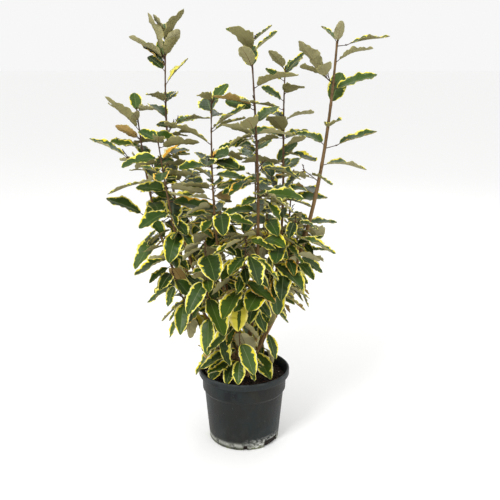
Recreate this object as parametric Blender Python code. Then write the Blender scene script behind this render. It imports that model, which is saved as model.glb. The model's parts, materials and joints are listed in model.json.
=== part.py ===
"""Potted elaeagnus: a variegated evergreen shrub of ten leafy stems in a round nursery pot.

Metres, +Z up. The origin is the middle of the pot's flat underside, and the front is -Y.
Each stem is a bare tapering limb in two lengths, and carries a side mass and a top mass of leaves.
Short masses round the trunk fill the foot of the crown.
"""

import math
import random
from collections import namedtuple

import bmesh
import bpy
from mathutils import Matrix, Vector
from mathutils.bvhtree import BVHTree
from mathutils.noise import noise

CLEARANCE = 0.0003
POT_BLACK = (0.024, 0.026, 0.026)
COMPOST = (0.018, 0.012, 0.009)
BARK = (0.100, 0.060, 0.040)
LEAF_GREEN = (0.070, 0.120, 0.050)

# Pot: a turned shell with a thick rim band, a shoulder below it and drain slots round the foot
POT_HEIGHT = 0.186
POT_SEGMENTS = 32
RIM_RADIUS = 0.1125
RIM_BAND = 0.016
RIM_WIDTH = 0.005
SHOULDER_BOTTOM = 0.128
SHOULDER_RADIUS = 0.1045
SHOULDER_DRAFT = 0.001
SHOULDER_STEP = 0.005
WALL_TOP_RADIUS = 0.0985
BASE_RADIUS = 0.0870
BASE_ROUND = 0.002
WALL = 0.0018
FLOOR = 0.0025
SLOT_DEPTH = 0.016
DrainSlot = namedtuple("DrainSlot", "bearing width height")
DRAIN_SLOTS = (
    DrainSlot(bearing=272, width=0.010, height=0.013),
    DrainSlot(bearing=321, width=0.050, height=0.018),
    DrainSlot(bearing=51, width=0.050, height=0.018),
    DrainSlot(bearing=92, width=0.010, height=0.013),
    DrainSlot(bearing=141, width=0.050, height=0.018),
)

# Compost: fills the pot to below its rim, flat round the trunk and lumpy further out
SOIL_LEVEL = 0.163
SOIL_FLAT = 0.030
SOIL_LUMPS = 0.004
SOIL_GRAIN = 38.0
SOIL_RINGS = 4

# Trunk: a short stump that flares at the compost
TRUNK_HEIGHT = 0.050
TRUNK_FLARE = 0.0185
TRUNK_RADIUS = 0.0115
TRUNK_SIDES = 14

# Stems: cubic curves from the trunk's axis to the tip, given by their bearings and leans in degrees
Stem = namedtuple("Stem", "name rise bearing lean tip tip_bearing tip_lean girth fork enter sparse seed")
STEMS = (
    Stem("left_tall", 0.030, 154, 42, (-0.184, 0.100, 0.975), 330, 4, 0.0090, 0.24, 0.50, 1.0, 80),
    Stem("far_left", 0.020, 180, 48, (-0.247, 0.020, 0.815), 180, 5, 0.0085, 0.26, 0.52, 1.0, 107),
    Stem("left_front", 0.028, 205, 44, (-0.190, -0.070, 0.755), 200, 8, 0.0080, 0.28, 0.55, 1.0, 164),
    Stem("thin_front", 0.028, 240, 30, (-0.070, -0.100, 0.845), 60, 2, 0.0065, 0.26, 0.52, 1.0, 49),
    Stem("centre", 0.030, 290, 28, (0.014, -0.115, 0.965), 180, 4, 0.0095, 0.25, 0.50, 1.0, 66),
    Stem("right_centre", 0.036, 30, 36, (0.098, 0.105, 0.905), 20, 3, 0.0090, 0.25, 0.52, 1.0, 157),
    Stem("right", 0.014, 342, 31, (0.203, -0.030, 0.968), 350, 3, 0.0120, 0.28, 0.54, 1.4, 105),
    Stem("back_left", 0.036, 115, 38, (-0.085, 0.175, 0.680), 110, 10, 0.0075, 0.30, 0.55, 1.2, 45),
    Stem("back", 0.024, 75, 44, (0.030, 0.185, 0.700), 80, 6, 0.0080, 0.30, 0.55, 1.2, 45),
    Stem("back_right", 0.020, 28, 46, (0.125, 0.150, 0.650), 40, 8, 0.0075, 0.32, 0.56, 1.3, 49),
)
STEM_TIP = 0.0022
CURVE_PULL = 0.36
LIMB_SIDES = 6
RING_SPACING = 0.060
WAY_SPAN = 0.006

# Side masses leave the top of a stem's lower limb, and low masses leave the trunk
Shoot = namedtuple("Shoot", "name parent start bearing lean droop length girth sparse seed")
SIDE_SHOOTS = (
    Shoot("left_tall_side", "left_tall_lower_stem", 0.018, 112, 46, -34, 0.24, 0.0040, 1.0, 39),
    Shoot("far_left_side", "far_left_lower_stem", 0.018, 226, 48, -42, 0.22, 0.0040, 1.0, 48),
    Shoot("left_front_side", "left_front_lower_stem", 0.018, 268, 38, -30, 0.25, 0.0040, 1.0, 7),
    Shoot("thin_front_side", "thin_front_lower_stem", 0.018, 296, 40, -36, 0.24, 0.0036, 1.0, 146),
    Shoot("centre_side", "centre_lower_stem", 0.020, 350, 44, -42, 0.25, 0.0040, 1.0, 111),
    Shoot("right_centre_side", "right_centre_lower_stem", 0.020, 335, 42, -38, 0.24, 0.0040, 1.0, 170),
    Shoot("right_side", "right_lower_stem", 0.022, 240, 36, -34, 0.24, 0.0040, 1.0, 128),
    Shoot("back_left_side", "back_left_lower_stem", 0.018, 160, 48, -32, 0.22, 0.0036, 1.2, 50),
    Shoot("back_side", "back_lower_stem", 0.018, 128, 44, -32, 0.22, 0.0036, 1.2, 163),
    Shoot("back_right_side", "back_right_lower_stem", 0.018, 95, 40, -30, 0.20, 0.0036, 1.2, 169),
)
LOW_SHOOTS = (
    Shoot("low_front", "trunk", 0.010, 262, 50, -44, 0.20, 0.0036, 1.0, 119),
    Shoot("low_front_left", "trunk", 0.009, 222, 54, -44, 0.20, 0.0036, 1.0, 87),
    Shoot("low_left", "trunk", 0.006, 192, 56, -44, 0.17, 0.0036, 1.0, 89),
    Shoot("low_back_left", "trunk", 0.009, 134, 54, -44, 0.16, 0.0036, 1.2, 81),
    Shoot("low_back_right", "trunk", 0.007, 52, 54, -48, 0.16, 0.0036, 1.2, 153),
    Shoot("low_right", "trunk", 0.009, 316, 46, -44, 0.22, 0.0036, 1.0, 141),
)
SHOOT_TIP = 0.0022
SHOOT_SIDES = 4

# Furthest leaves: each grows first, from a share of its mass's stem, and its tip comes to a given place
Reach = namedtuple("Reach", "mass share tip")
REACHES = (
    Reach("left_tall_top_leaves", 0.96, (-0.196, 0.100, 1.021)),
    Reach("left_tall_top_leaves", 0.88, (-0.272, 0.085, 0.972)),
    Reach("far_left_top_leaves", 0.86, (-0.320, 0.000, 0.842)),
    Reach("far_left_top_leaves", 0.62, (-0.361, 0.010, 0.744)),
    Reach("far_left_top_leaves", 0.22, (-0.327, 0.000, 0.606)),
    Reach("right_top_leaves", 0.97, (0.317, -0.040, 0.970)),
    Reach("right_top_leaves", 0.72, (0.297, -0.020, 0.889)),
    Reach("right_top_leaves", 0.38, (0.300, -0.040, 0.766)),
    Reach("left_tall_side_leaves", 0.34, (-0.224, 0.060, 0.352)),
    Reach("right_side_leaves", 0.12, (0.180, -0.050, 0.382)),
)
LEAF_REACH = 0.098
REACH_SPREAD = 0.007

# Leaves: alternate up the shoot, hanging at the foot of the crown and standing up at its top
LEAF_TURN = 137.5
LEAF_SPACING_LOW = 0.025
LEAF_SPACING_TOP = 0.043
SPARSE_FROM = 0.66
LEAF_LENGTH_LOW = 0.094
LEAF_LENGTH_TOP = 0.085
LEAF_SLIMNESS = 0.50
LEAF_THICKNESS = 0.015
LEAF_STATIONS = (0.0, 0.30, 0.66, 1.0)
LEAF_TROUGH = 22
LEAF_WAVE = 0.05
PETIOLE = 0.011
PETIOLE_GIRTH = 0.0017
RISE_LOW = -50
RISE_TOP = 48
CROWN_FOOT = 0.25
CROWN_TOP = 0.95
LEAF_ROLL = 28
LEAF_CURL = (8, 44)
REACH_CURL = (10, 24)
LENGTH_RANGE = (0.82, 1.18)
SLIMNESS_RANGE = (0.86, 1.12)
SPACING_RANGE = (0.8, 1.2)
BARE_FOOT = 0.035
BARE_SHARE = 0.3
TIP_LEAF_PLACES = (0.05, 0.13)
TIP_LEAF_TURN = 150
TIP_LEAF_SIZE = 0.66

# Twigs: every few leaves a short straight twig stands in for one, with three leaves of its own
TWIG_EVERY = 5
FIRST_TWIG = 2
TWIG_LENGTH = 0.050
TWIG_LENGTH_RANGE = (0.7, 1.2)
TWIG_LEAN = 52
TWIG_GIRTH = 0.0026
TWIG_SIDES = 3
TWIG_LEAF_TURNS = (-60, 60, 0)
TWIG_LEAF_SIZE = 0.86
TWIG_END = 0.03

# Growth: each new leaf or twig has a few tries, turned further each time, and is left out if all touch
TRIES = 7
FIRST_SPREAD = 14
MORE_SPREAD = 9
SEED_STEP = 1000
NODE_STEP = 10
ROOM = 0.0006
KEEP_OFF = 0.0015
SPACE = 0.125
WOOD = "_wood"

STALK_FACES = (
    *((0, 2, 1), (0, 1, 4), (0, 4, 3), (1, 2, 5), (1, 5, 4), (2, 0, 3), (2, 3, 5)),
    *((3, 4, 7), (3, 7, 6), (4, 8, 7), (3, 6, 9), (3, 9, 5), (4, 5, 9), (4, 9, 8)),
)

Leaf = namedtuple("Leaf", "root bearing rise roll length slimness curl wave")
Limb = namedtuple("Limb", "name path ways radii cut_by")
Mass = namedtuple("Mass", "name path ways radii cut_by sparse seed")


def lerp(a, b, t):
    return a + (b - a) * t


def heading(bearing, lean):
    """The unit vector that leans off the vertical by an angle, towards a compass bearing from +X."""
    flat = math.sin(math.radians(lean))
    turn = math.radians(bearing)
    return Vector((flat * math.cos(turn), flat * math.sin(turn), math.cos(math.radians(lean))))


def stem_curve(stem, steps=60):
    """Points along a stem, from the trunk's axis to the tip."""
    start = Vector((0.0, 0.0, SOIL_LEVEL + stem.rise))
    end = Vector(stem.tip)
    pull = CURVE_PULL * (end - start).length
    second = start + heading(stem.bearing, stem.lean) * pull
    third = end - heading(stem.tip_bearing, stem.tip_lean) * pull
    points = []
    for step in range(steps + 1):
        t = step / steps
        s = 1 - t
        points.append(start * s**3 + second * 3 * s * s * t + third * 3 * s * t * t + end * t**3)
    return points


def shoot_curve(shoot, start, steps=24):
    """Points along a side shoot, whose lean changes by its droop from foot to tip."""
    points = [start.copy()]
    for step in range(steps):
        lean = shoot.lean + shoot.droop * (step + 0.5) / steps
        points.append(points[-1] + heading(shoot.bearing, lean) * shoot.length / steps)
    return points


def lengths_of(points):
    total = [0.0]
    for a, b in zip(points, points[1:]):
        total.append(total[-1] + (b - a).length)
    return total


def stretch(points, start, end):
    """The part of a curve between two lengths along it: its rings' places, and the way ahead at each."""
    along = lengths_of(points)
    count = max(2, round((end - start) / RING_SPACING))
    marks = [lerp(start, end, n / count) for n in range(count + 1)]
    path = [point_at(points, along, mark) for mark in marks]
    ways = [way_at(points, along, mark) for mark in marks]
    return path, ways


def point_at(points, along, length):
    for n in range(len(points) - 1):
        if along[n + 1] >= length:
            t = (length - along[n]) / (along[n + 1] - along[n])
            return points[n].lerp(points[n + 1], t)
    return points[-1].copy()


def way_at(points, along, length):
    before = point_at(points, along, max(0.0, length - WAY_SPAN))
    after = point_at(points, along, min(along[-1], length + WAY_SPAN))
    return (after - before).normalized()


def sweep(path, ways, radii, sides):
    """Points and faces of a closed tapering limb along a path."""
    verts = []
    faces = []
    side = Vector((0.0, 1.0, 0.0))
    for point, way, radius in zip(path, ways, radii):
        side = (side - way * side.dot(way)).normalized()
        up = way.cross(side)
        for k in range(sides):
            turn = math.tau * k / sides
            verts.append(point + (side * math.cos(turn) + up * math.sin(turn)) * radius)
    for n in range(len(path) - 1):
        for k in range(sides):
            a = n * sides + k
            b = n * sides + (k + 1) % sides
            faces.append((a, b, b + sides, a + sides))
    faces.append(tuple(reversed(range(sides))))
    faces.append(tuple(range(len(verts) - sides, len(verts))))
    return verts, faces


def grown_sweep(limb, extra, sides):
    """A limb's or a mass stem's shape, thicker all round by a little."""
    return sweep(limb.path, limb.ways, [radius + extra for radius in limb.radii], sides)


def leaf_width(t):
    """Half width along the blade as a share of its widest: full below the middle, drawn out to the tip."""
    return (t / 0.42) ** 0.62 * ((1 - t) / 0.58) ** 0.86


def leaf_frames(leaf, stations):
    """For each station of the blade: its place, the way sideways and the way out of the upper face."""
    out = heading(leaf.bearing, 90)
    across = Vector((0.0, 0.0, 1.0)).cross(out)
    frames = []
    place = leaf.root.copy()
    steps = 12
    marks = [round(t * steps) for t in stations]
    rise = math.radians(leaf.rise)
    place += (out * math.cos(rise) + Vector((0, 0, math.sin(rise)))) * PETIOLE
    for step in range(steps + 1):
        angle = math.radians(leaf.rise - leaf.curl * step / steps)
        ahead = out * math.cos(angle) + Vector((0, 0, math.sin(angle)))
        if step in marks:
            rolled = Matrix.Rotation(math.radians(leaf.roll), 3, ahead)
            side = rolled @ across
            frames.append((place.copy(), side, ahead.cross(side)))
        place += ahead * leaf.length / steps
    return frames


def leaf_shape(leaf, extra=0.0, petiole=True):
    """Points and faces of a leaf: a thin blade along a curling midrib, on a three-sided stalk.

    The blade's two faces are split along the same diagonals, so that they never cross.
    """
    frames = leaf_frames(leaf, LEAF_STATIONS)
    stalk = PETIOLE_GIRTH / 2 + extra
    foot, side, up = frames[0]
    verts = []
    for place in (leaf.root, foot) if petiole else (foot.lerp(leaf.root, 0.05), foot):
        verts += [place + side * stalk + up * stalk / 2, place - side * stalk + up * stalk / 2]
        verts.append(place - up * stalk)
    for n, t in enumerate(LEAF_STATIONS[1:-1]):
        place, side, up = frames[n + 1]
        half = leaf.length * leaf.slimness / 2 * leaf_width(t) + extra
        lift = half * math.tan(math.radians(LEAF_TROUGH))
        wave = leaf.length * LEAF_WAVE * (1 if n % 2 else -1) * leaf.wave
        ridge = up * (leaf.length * LEAF_THICKNESS / 2 + extra)
        verts += [place + side * half + up * (lift + wave), place + ridge]
        verts += [place - side * half + up * (lift - wave), place - ridge]
    verts.append(frames[-1][0])
    faces = list(STALK_FACES)
    for n in range(6, len(verts) - 5, 4):
        left, top, right, under = range(n, n + 4)
        faces += [(left, left + 4, top + 4), (left, top + 4, top)]
        faces += [(right, top, top + 4), (right, top + 4, right + 4)]
        faces += [(right, right + 4, under + 4), (right, under + 4, under)]
        faces += [(left, under, under + 4), (left, under + 4, left + 4)]
    left, top, right, under, tip = range(len(verts) - 5, len(verts))
    faces += [(left, tip, top), (top, tip, right), (right, tip, under), (under, tip, left)]
    return verts, faces


class Crown:
    """What has grown so far, so that nothing new touches it."""

    def __init__(self):
        self.solids = []

    def add(self, owner, verts, faces):
        self.solids.append((owner, BVHTree.FromPolygons(verts, faces), *box_of(verts)))

    def touches(self, verts, faces, leave_out=()):
        low, high = box_of(verts)
        tree = None
        for owner, other, other_low, other_high in self.solids:
            if owner in leave_out:
                continue
            if any(low[k] > other_high[k] or high[k] < other_low[k] for k in range(3)):
                continue
            tree = tree or BVHTree.FromPolygons(verts, faces)
            if tree.overlap(other):
                return True
        return False


def box_of(verts):
    low = [min(v[k] for v in verts) for k in range(3)]
    high = [max(v[k] for v in verts) for k in range(3)]
    return low, high


def by_height(height, low, top, changes_from=None):
    """A value that changes evenly from the foot of the crown, or from a given height, to its top."""
    foot = changes_from or CROWN_FOOT
    return lerp(low, top, min(1.0, max(0.0, (height - foot) / (CROWN_TOP - foot))))


def spacing_at(height):
    return by_height(height, LEAF_SPACING_LOW, LEAF_SPACING_TOP, SPARSE_FROM)


def settle(crown, mass, leaf, space=SPACE):
    """Whether a leaf keeps to its mass's space and touches nothing; if so, it joins the crown."""
    whole = leaf_shape(leaf, ROOM)
    blade = leaf_shape(leaf, ROOM, petiole=False)
    if max(min((v - p).length for p in mass.path) for v in blade[0]) > space:
        return False
    if crown.touches(*blade) or crown.touches(*whole, leave_out=(mass.name, mass.name + WOOD)):
        return False
    crown.add(mass.name, *leaf_shape(leaf))
    return True


def try_leaf(crown, mass, root, bearing, number, size=1.0):
    """A leaf near this bearing that stays in the mass's space and touches nothing, or None."""
    rng = random.Random(mass.seed * SEED_STEP + number)
    for attempt in range(TRIES):
        spread = FIRST_SPREAD + MORE_SPREAD * attempt
        length = by_height(root.z, LEAF_LENGTH_LOW, LEAF_LENGTH_TOP) * size
        leaf = Leaf(
            root=root,
            bearing=bearing + rng.uniform(-spread, spread),
            rise=by_height(root.z, RISE_LOW, RISE_TOP) + rng.uniform(-spread, spread),
            roll=rng.uniform(-LEAF_ROLL, LEAF_ROLL),
            length=length * rng.uniform(*LENGTH_RANGE),
            slimness=LEAF_SLIMNESS * rng.uniform(*SLIMNESS_RANGE),
            curl=rng.uniform(*LEAF_CURL),
            wave=rng.uniform(-1, 1),
        )
        if settle(crown, mass, leaf):
            return leaf
    return None


def try_reach(crown, mass, reach, number):
    """A leaf whose tip comes to a given place, and the twig it needs where it alone would fall short."""
    rng = random.Random(mass.seed * SEED_STEP + number)
    along = lengths_of(mass.path)
    for attempt in range(TRIES):
        spread = REACH_SPREAD * attempt
        tip = Vector(reach.tip) + Vector([rng.uniform(-spread, spread) for _ in range(3)])
        root = point_at(mass.path, along, along[-1] * reach.share - spread)
        way = (tip - root).normalized()
        short = (tip - root).length - LEAF_REACH
        twig = [root, root + way * short] if short > PETIOLE else None
        if twig and crown.touches(*twig_shape(twig, ROOM), leave_out=(mass.name + WOOD,)):
            continue
        root = root.lerp(twig[1], 1 - TWIG_END) if twig else root
        curl = rng.uniform(*REACH_CURL)
        leaf = Leaf(
            root=root,
            bearing=math.degrees(math.atan2(way.y, way.x)),
            rise=math.degrees(math.asin(way.z)) + curl / 2,
            roll=rng.uniform(-LEAF_ROLL, LEAF_ROLL),
            length=(tip - root).length - PETIOLE,
            slimness=LEAF_SLIMNESS * rng.uniform(*SLIMNESS_RANGE),
            curl=curl,
            wave=rng.uniform(-1, 1),
        )
        if settle(crown, mass, leaf, 2 * SPACE):
            if twig:
                crown.add(mass.name + WOOD, *twig_shape(twig, ROOM))
            return twig, leaf
    return None, None


def twig_shape(path, extra=0.0):
    way = (path[1] - path[0]).normalized()
    return sweep(path, (way, way), (TWIG_GIRTH / 2 + extra, TWIG_GIRTH / 3 + extra), TWIG_SIDES)


def try_twig(crown, mass, root, bearing, number):
    """A short straight twig near this bearing, as its two ends, or None where it would touch something."""
    rng = random.Random(mass.seed * SEED_STEP + number)
    for attempt in range(TRIES):
        spread = FIRST_SPREAD + MORE_SPREAD * attempt
        lean = TWIG_LEAN + rng.uniform(-spread, spread) / 2
        way = heading(bearing + rng.uniform(-spread, spread), lean)
        path = [root, root + way * TWIG_LENGTH * rng.uniform(*TWIG_LENGTH_RANGE)]
        verts, faces = twig_shape(path, ROOM)
        if not crown.touches(verts, faces, leave_out=(mass.name + WOOD,)):
            crown.add(mass.name + WOOD, verts, faces)
            return path
    return None


def grow(crown, mass):
    """The twigs and leaves of one mass, from the foot of its stem to its tip."""
    reaches = [reach for reach in REACHES if reach.mass == mass.name]
    grown = [try_reach(crown, mass, reach, n + 1) for n, reach in enumerate(reaches)]
    twigs = [twig for twig, _ in grown if twig]
    leaves = [leaf for _, leaf in grown]
    along = lengths_of(mass.path)
    length = along[-1]
    rng = random.Random(mass.seed)
    turn = rng.uniform(0, 360)
    place = min(BARE_FOOT, BARE_SHARE * length)
    node = 0
    while place < length:
        root = point_at(mass.path, along, place)
        node += 1
        number = node * NODE_STEP
        turn += LEAF_TURN
        twig = None
        if node % TWIG_EVERY == FIRST_TWIG and length - place > TWIG_LENGTH:
            twig = try_twig(crown, mass, root, turn, number)
        if twig:
            twigs.append(twig)
            for n, aside in enumerate(TWIG_LEAF_TURNS):
                spot = root.lerp(twig[1], (n + 1) / len(TWIG_LEAF_TURNS) - TWIG_END)
                leaves.append(try_leaf(crown, mass, spot, turn + aside, number + n + 1, TWIG_LEAF_SIZE))
        else:
            leaves.append(try_leaf(crown, mass, root, turn, number))
        place += spacing_at(root.z) * mass.sparse * rng.uniform(*SPACING_RANGE)
    for n, back in enumerate(TIP_LEAF_PLACES):
        root = mass.path[-1].lerp(mass.path[-2], back)
        turn += TIP_LEAF_TURN
        leaves.append(try_leaf(crown, mass, root, turn, (node + n + 1) * NODE_STEP, TIP_LEAF_SIZE))
    return twigs, [leaf for leaf in leaves if leaf]


def mesh_object(name, verts, faces):
    mesh = bpy.data.meshes.new(name)
    mesh.from_pydata([tuple(v) for v in verts], [], faces)
    bm = bmesh.new()
    bm.from_mesh(mesh)
    bmesh.ops.recalc_face_normals(bm, faces=bm.faces)
    bm.to_mesh(mesh)
    bm.free()
    obj = bpy.data.objects.new(name, mesh)
    bpy.context.scene.collection.objects.link(obj)
    return obj


def paint(obj, colour, roughness):
    material = bpy.data.materials.new(obj.name + "_finish")
    material.use_nodes = True
    shader = material.node_tree.nodes["Principled BSDF"]
    shader.inputs["Base Color"].default_value = (*colour, 1.0)
    shader.inputs["Roughness"].default_value = roughness
    shader.inputs["Metallic"].default_value = 0.0
    obj.data.materials.append(material)
    return obj


def guard(obj):
    obj.hide_render = True
    obj.display_type = "WIRE"
    return obj


def boolean(obj, operation, other=None, collection=None):
    change = obj.modifiers.new(operation.lower(), "BOOLEAN")
    change.operation = operation
    change.solver = "EXACT"
    if collection:
        change.operand_type = "COLLECTION"
        change.collection = collection
    else:
        change.object = other
    return change


def turned(name, profile, segments):
    """A solid of revolution from a closed profile of (radius, height) that starts and ends on the axis."""
    bm = bmesh.new()
    verts = [bm.verts.new((r, 0.0, z)) for r, z in profile]
    edges = [bm.edges.new(pair) for pair in zip(verts, verts[1:])]
    bmesh.ops.spin(
        bm, geom=verts + edges, cent=(0, 0, 0), axis=(0, 0, 1), angle=math.tau, steps=segments
    )
    bmesh.ops.remove_doubles(bm, verts=bm.verts, dist=0.00002)
    bmesh.ops.recalc_face_normals(bm, faces=bm.faces)
    mesh = bpy.data.meshes.new(name)
    bm.to_mesh(mesh)
    bm.free()
    mesh.shade_smooth()
    mesh.set_sharp_from_angle(angle=math.radians(35))
    obj = bpy.data.objects.new(name, mesh)
    bpy.context.scene.collection.objects.link(obj)
    return obj


def turned_shape(profile, segments=24):
    """Points and faces of the same kind of solid, left open at its ends, for growth to keep off."""
    verts = []
    for n in range(segments):
        turn = math.tau * n / segments
        verts += [Vector((r * math.cos(turn), r * math.sin(turn), z)) for r, z in profile]
    count = len(profile)
    faces = []
    for n in range(segments):
        for k in range(count - 1):
            a = n * count + k
            b = (n + 1) % segments * count + k
            faces.append((a, b, b + 1, a + 1))
    return verts, faces


def inner_profile(gap=0.0):
    """The pot's inner wall from the floor up, moved inwards by a gap."""
    return [
        (BASE_RADIUS - WALL - gap, FLOOR + gap),
        (WALL_TOP_RADIUS - WALL - gap, SHOULDER_BOTTOM),
        (SHOULDER_RADIUS - SHOULDER_DRAFT - WALL - gap, SHOULDER_BOTTOM + SHOULDER_STEP * 1.5),
        (SHOULDER_RADIUS - WALL - gap, POT_HEIGHT - RIM_BAND - WALL),
        (RIM_RADIUS - RIM_WIDTH - gap, POT_HEIGHT - WALL),
    ]


def pot_profile():
    band_foot = POT_HEIGHT - RIM_BAND
    outer = [
        (0.0, 0.0),
        (BASE_RADIUS - BASE_ROUND, 0.0),
        (BASE_RADIUS, BASE_ROUND),
        (WALL_TOP_RADIUS, SHOULDER_BOTTOM),
        (SHOULDER_RADIUS - SHOULDER_DRAFT, SHOULDER_BOTTOM + SHOULDER_STEP * 1.5),
        (SHOULDER_RADIUS, band_foot - BASE_ROUND),
        (RIM_RADIUS - BASE_ROUND / 2, band_foot),
        (RIM_RADIUS, band_foot + BASE_ROUND),
        (RIM_RADIUS, POT_HEIGHT - BASE_ROUND),
        (RIM_RADIUS - BASE_ROUND, POT_HEIGHT),
        (RIM_RADIUS - RIM_WIDTH + BASE_ROUND / 2, POT_HEIGHT),
    ]
    return outer + inner_profile()[::-1] + [(0.0, FLOOR)]


def make_pot():
    pot = turned("pot", pot_profile(), POT_SEGMENTS)
    for n, slot in enumerate(DRAIN_SLOTS):
        bpy.ops.mesh.primitive_cube_add(size=1)
        cutter = bpy.context.object
        cutter.name = f"drain_cutter_{n + 1}"
        place = heading(slot.bearing, 90) * BASE_RADIUS
        turn = Matrix.Rotation(math.radians(slot.bearing), 4, "Z")
        size = Matrix.Diagonal((2 * SLOT_DEPTH, slot.width, 2 * slot.height, 1))
        cutter.data.transform(Matrix.Translation(place) @ turn @ size)
        boolean(pot, "DIFFERENCE", guard(cutter))
    return paint(pot, POT_BLACK, 0.5)


def soil_height(x, y):
    """The compost's top: flat round the trunk, with lumps that grow further out."""
    share = min(1.0, max(0.0, math.hypot(x, y) / SOIL_FLAT - 1))
    return SOIL_LEVEL + SOIL_LUMPS * share * noise(Vector((x, y, 0.3)) * SOIL_GRAIN)


def make_soil():
    wall = inner_profile(CLEARANCE)
    below = [point for point in wall if point[1] < SOIL_LEVEL - SOIL_LUMPS]
    above = wall[len(below)]
    share = (SOIL_LEVEL - below[-1][1]) / (above[1] - below[-1][1])
    edge = lerp(below[-1][0], above[0], share)
    top = [(edge * (1 - n / SOIL_RINGS), SOIL_LEVEL) for n in range(SOIL_RINGS + 1)]
    soil = turned("soil", [(0.0, below[0][1])] + below + top, POT_SEGMENTS)
    for vert in soil.data.vertices:
        x, y, z = vert.co
        if abs(z - SOIL_LEVEL) < 1e-5 and math.hypot(x, y) < edge - 1e-4:
            vert.co.z = soil_height(x, y)
    return paint(soil, COMPOST, 0.95)


def trunk_profile(extra=0.0):
    foot = SOIL_LEVEL + CLEARANCE - extra
    return [
        (0.0, foot),
        (TRUNK_FLARE + extra, foot),
        (TRUNK_FLARE * 0.76 + extra, foot + TRUNK_HEIGHT * 0.12),
        (TRUNK_RADIUS + extra, foot + TRUNK_HEIGHT * 0.36),
        (TRUNK_RADIUS + extra, foot + TRUNK_HEIGHT * 0.80),
        (TRUNK_RADIUS * 0.7 + extra, SOIL_LEVEL + TRUNK_HEIGHT * 0.95 + extra),
        (0.0, SOIL_LEVEL + TRUNK_HEIGHT + extra),
    ]


def make_trunk():
    """The trunk, and the slightly grown copy of it that cuts the feet of what it carries."""
    paint(turned("trunk", trunk_profile(), TRUNK_SIDES), BARK, 0.8)
    return guard(turned("trunk_clearance", trunk_profile(CLEARANCE), TRUNK_SIDES))


def make_limb(limb, cut_by):
    obj = mesh_object(limb.name, *grown_sweep(limb, 0.0, LIMB_SIDES))
    obj.data.shade_smooth()
    obj.data.set_sharp_from_angle(angle=math.radians(60))
    if cut_by:
        boolean(obj, "DIFFERENCE", cut_by)
    return paint(obj, BARK, 0.8)


def make_mass(mass, twigs, leaves, cut_by):
    """One stem with its twigs and leaves, fused to one solid."""
    obj = mesh_object(mass.name, *grown_sweep(mass, 0.0, SHOOT_SIDES))
    growth = bpy.data.collections.new(mass.name + "_growth")
    bpy.context.scene.collection.children.link(growth)
    shapes = [twig_shape(twig) for twig in twigs]
    shapes += [leaf_shape(leaf) for leaf in leaves]
    for n, shape in enumerate(shapes):
        piece = mesh_object(f"{mass.name}_{n}", *shape)
        bpy.context.scene.collection.objects.unlink(piece)
        growth.objects.link(piece)
    boolean(obj, "UNION", collection=growth)
    if cut_by:
        boolean(obj, "DIFFERENCE", cut_by)
    fused = obj.evaluated_get(bpy.context.evaluated_depsgraph_get())
    fused = bpy.data.meshes.new_from_object(fused)
    obj.modifiers.clear()
    obj.data = fused
    for piece in list(growth.objects):
        bpy.data.objects.remove(piece)
    bpy.data.collections.remove(growth)
    return paint(obj, LEAF_GREEN, 0.5)


def spread_evenly(first, last, count):
    return [lerp(first, last, n / (count - 1)) for n in range(count)]


def plan_plant():
    """The bare limbs and the leafy masses' stems, each as a path with its radii, in growing order."""
    limbs = []
    masses = []
    ends = {"trunk": None}
    for stem in STEMS:
        curve = stem_curve(stem)
        whole = lengths_of(curve)[-1]
        cuts = (0.0, stem.fork * whole, stem.enter * whole, whole)
        for part, start, end in zip(("lower_stem", "upper_stem", "top_leaves"), cuts, cuts[1:]):
            path, ways = stretch(curve, start + (CLEARANCE if start else 0), end)
            radii = [lerp(stem.girth, STEM_TIP, place / whole) / 2 for place in (start, end)]
            radii = spread_evenly(*radii, len(path))
            name = f"{stem.name}_{part}"
            if part == "top_leaves":
                masses.append(Mass(name, path, ways, radii, None, stem.sparse, stem.seed))
            else:
                limbs.append(Limb(name, path, ways, radii, "trunk" if part == "lower_stem" else None))
                ends[name] = path
    for shoot in SIDE_SHOOTS + LOW_SHOOTS:
        start = Vector((0.0, 0.0, SOIL_LEVEL + shoot.start))
        path = ends[shoot.parent]
        if path:
            along = lengths_of(path)
            start = point_at(path, along, along[-1] - shoot.start)
        path, ways = stretch(shoot_curve(shoot, start), 0.0, shoot.length)
        radii = spread_evenly(shoot.girth / 2, SHOOT_TIP / 2, len(path))
        name = shoot.name + "_leaves"
        masses.append(Mass(name, path, ways, radii, shoot.parent, shoot.sparse, shoot.seed))
    return limbs, masses


def bare_crown(limbs, masses):
    """The crown before any leaf: what the leaves and twigs keep off."""
    crown = Crown()
    mouth = RIM_RADIUS - RIM_WIDTH - KEEP_OFF
    rim = RIM_RADIUS + KEEP_OFF
    top = POT_HEIGHT + KEEP_OFF
    ground = SOIL_LEVEL + SOIL_LUMPS + KEEP_OFF
    crown.add("pot", *turned_shape([(mouth, ground), (mouth, top), (rim, top), (rim, 0.0)]))
    crown.add("soil", *turned_shape([(KEEP_OFF, ground), (mouth, ground)]))
    crown.add("trunk", *turned_shape([(r, z) for r, z in trunk_profile(KEEP_OFF) if r > 0]))
    for limb in limbs:
        crown.add(limb.name, *grown_sweep(limb, ROOM, LIMB_SIDES))
    for mass in masses:
        crown.add(mass.name + WOOD, *grown_sweep(mass, ROOM, SHOOT_SIDES))
    return crown


def main():
    for obj in list(bpy.data.objects):
        bpy.data.objects.remove(obj)
    make_pot()
    make_soil()
    guards = {None: None, "trunk": make_trunk()}
    limbs, masses = plan_plant()
    for limb in limbs:
        make_limb(limb, guards[limb.cut_by])
        if limb.cut_by:
            grown = grown_sweep(limb, CLEARANCE, LIMB_SIDES)
            guards[limb.name] = guard(mesh_object(limb.name + "_clearance", *grown))
    crown = bare_crown(limbs, masses)
    for mass in masses:
        make_mass(mass, *grow(crown, mass), guards[mass.cut_by])


main()
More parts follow.
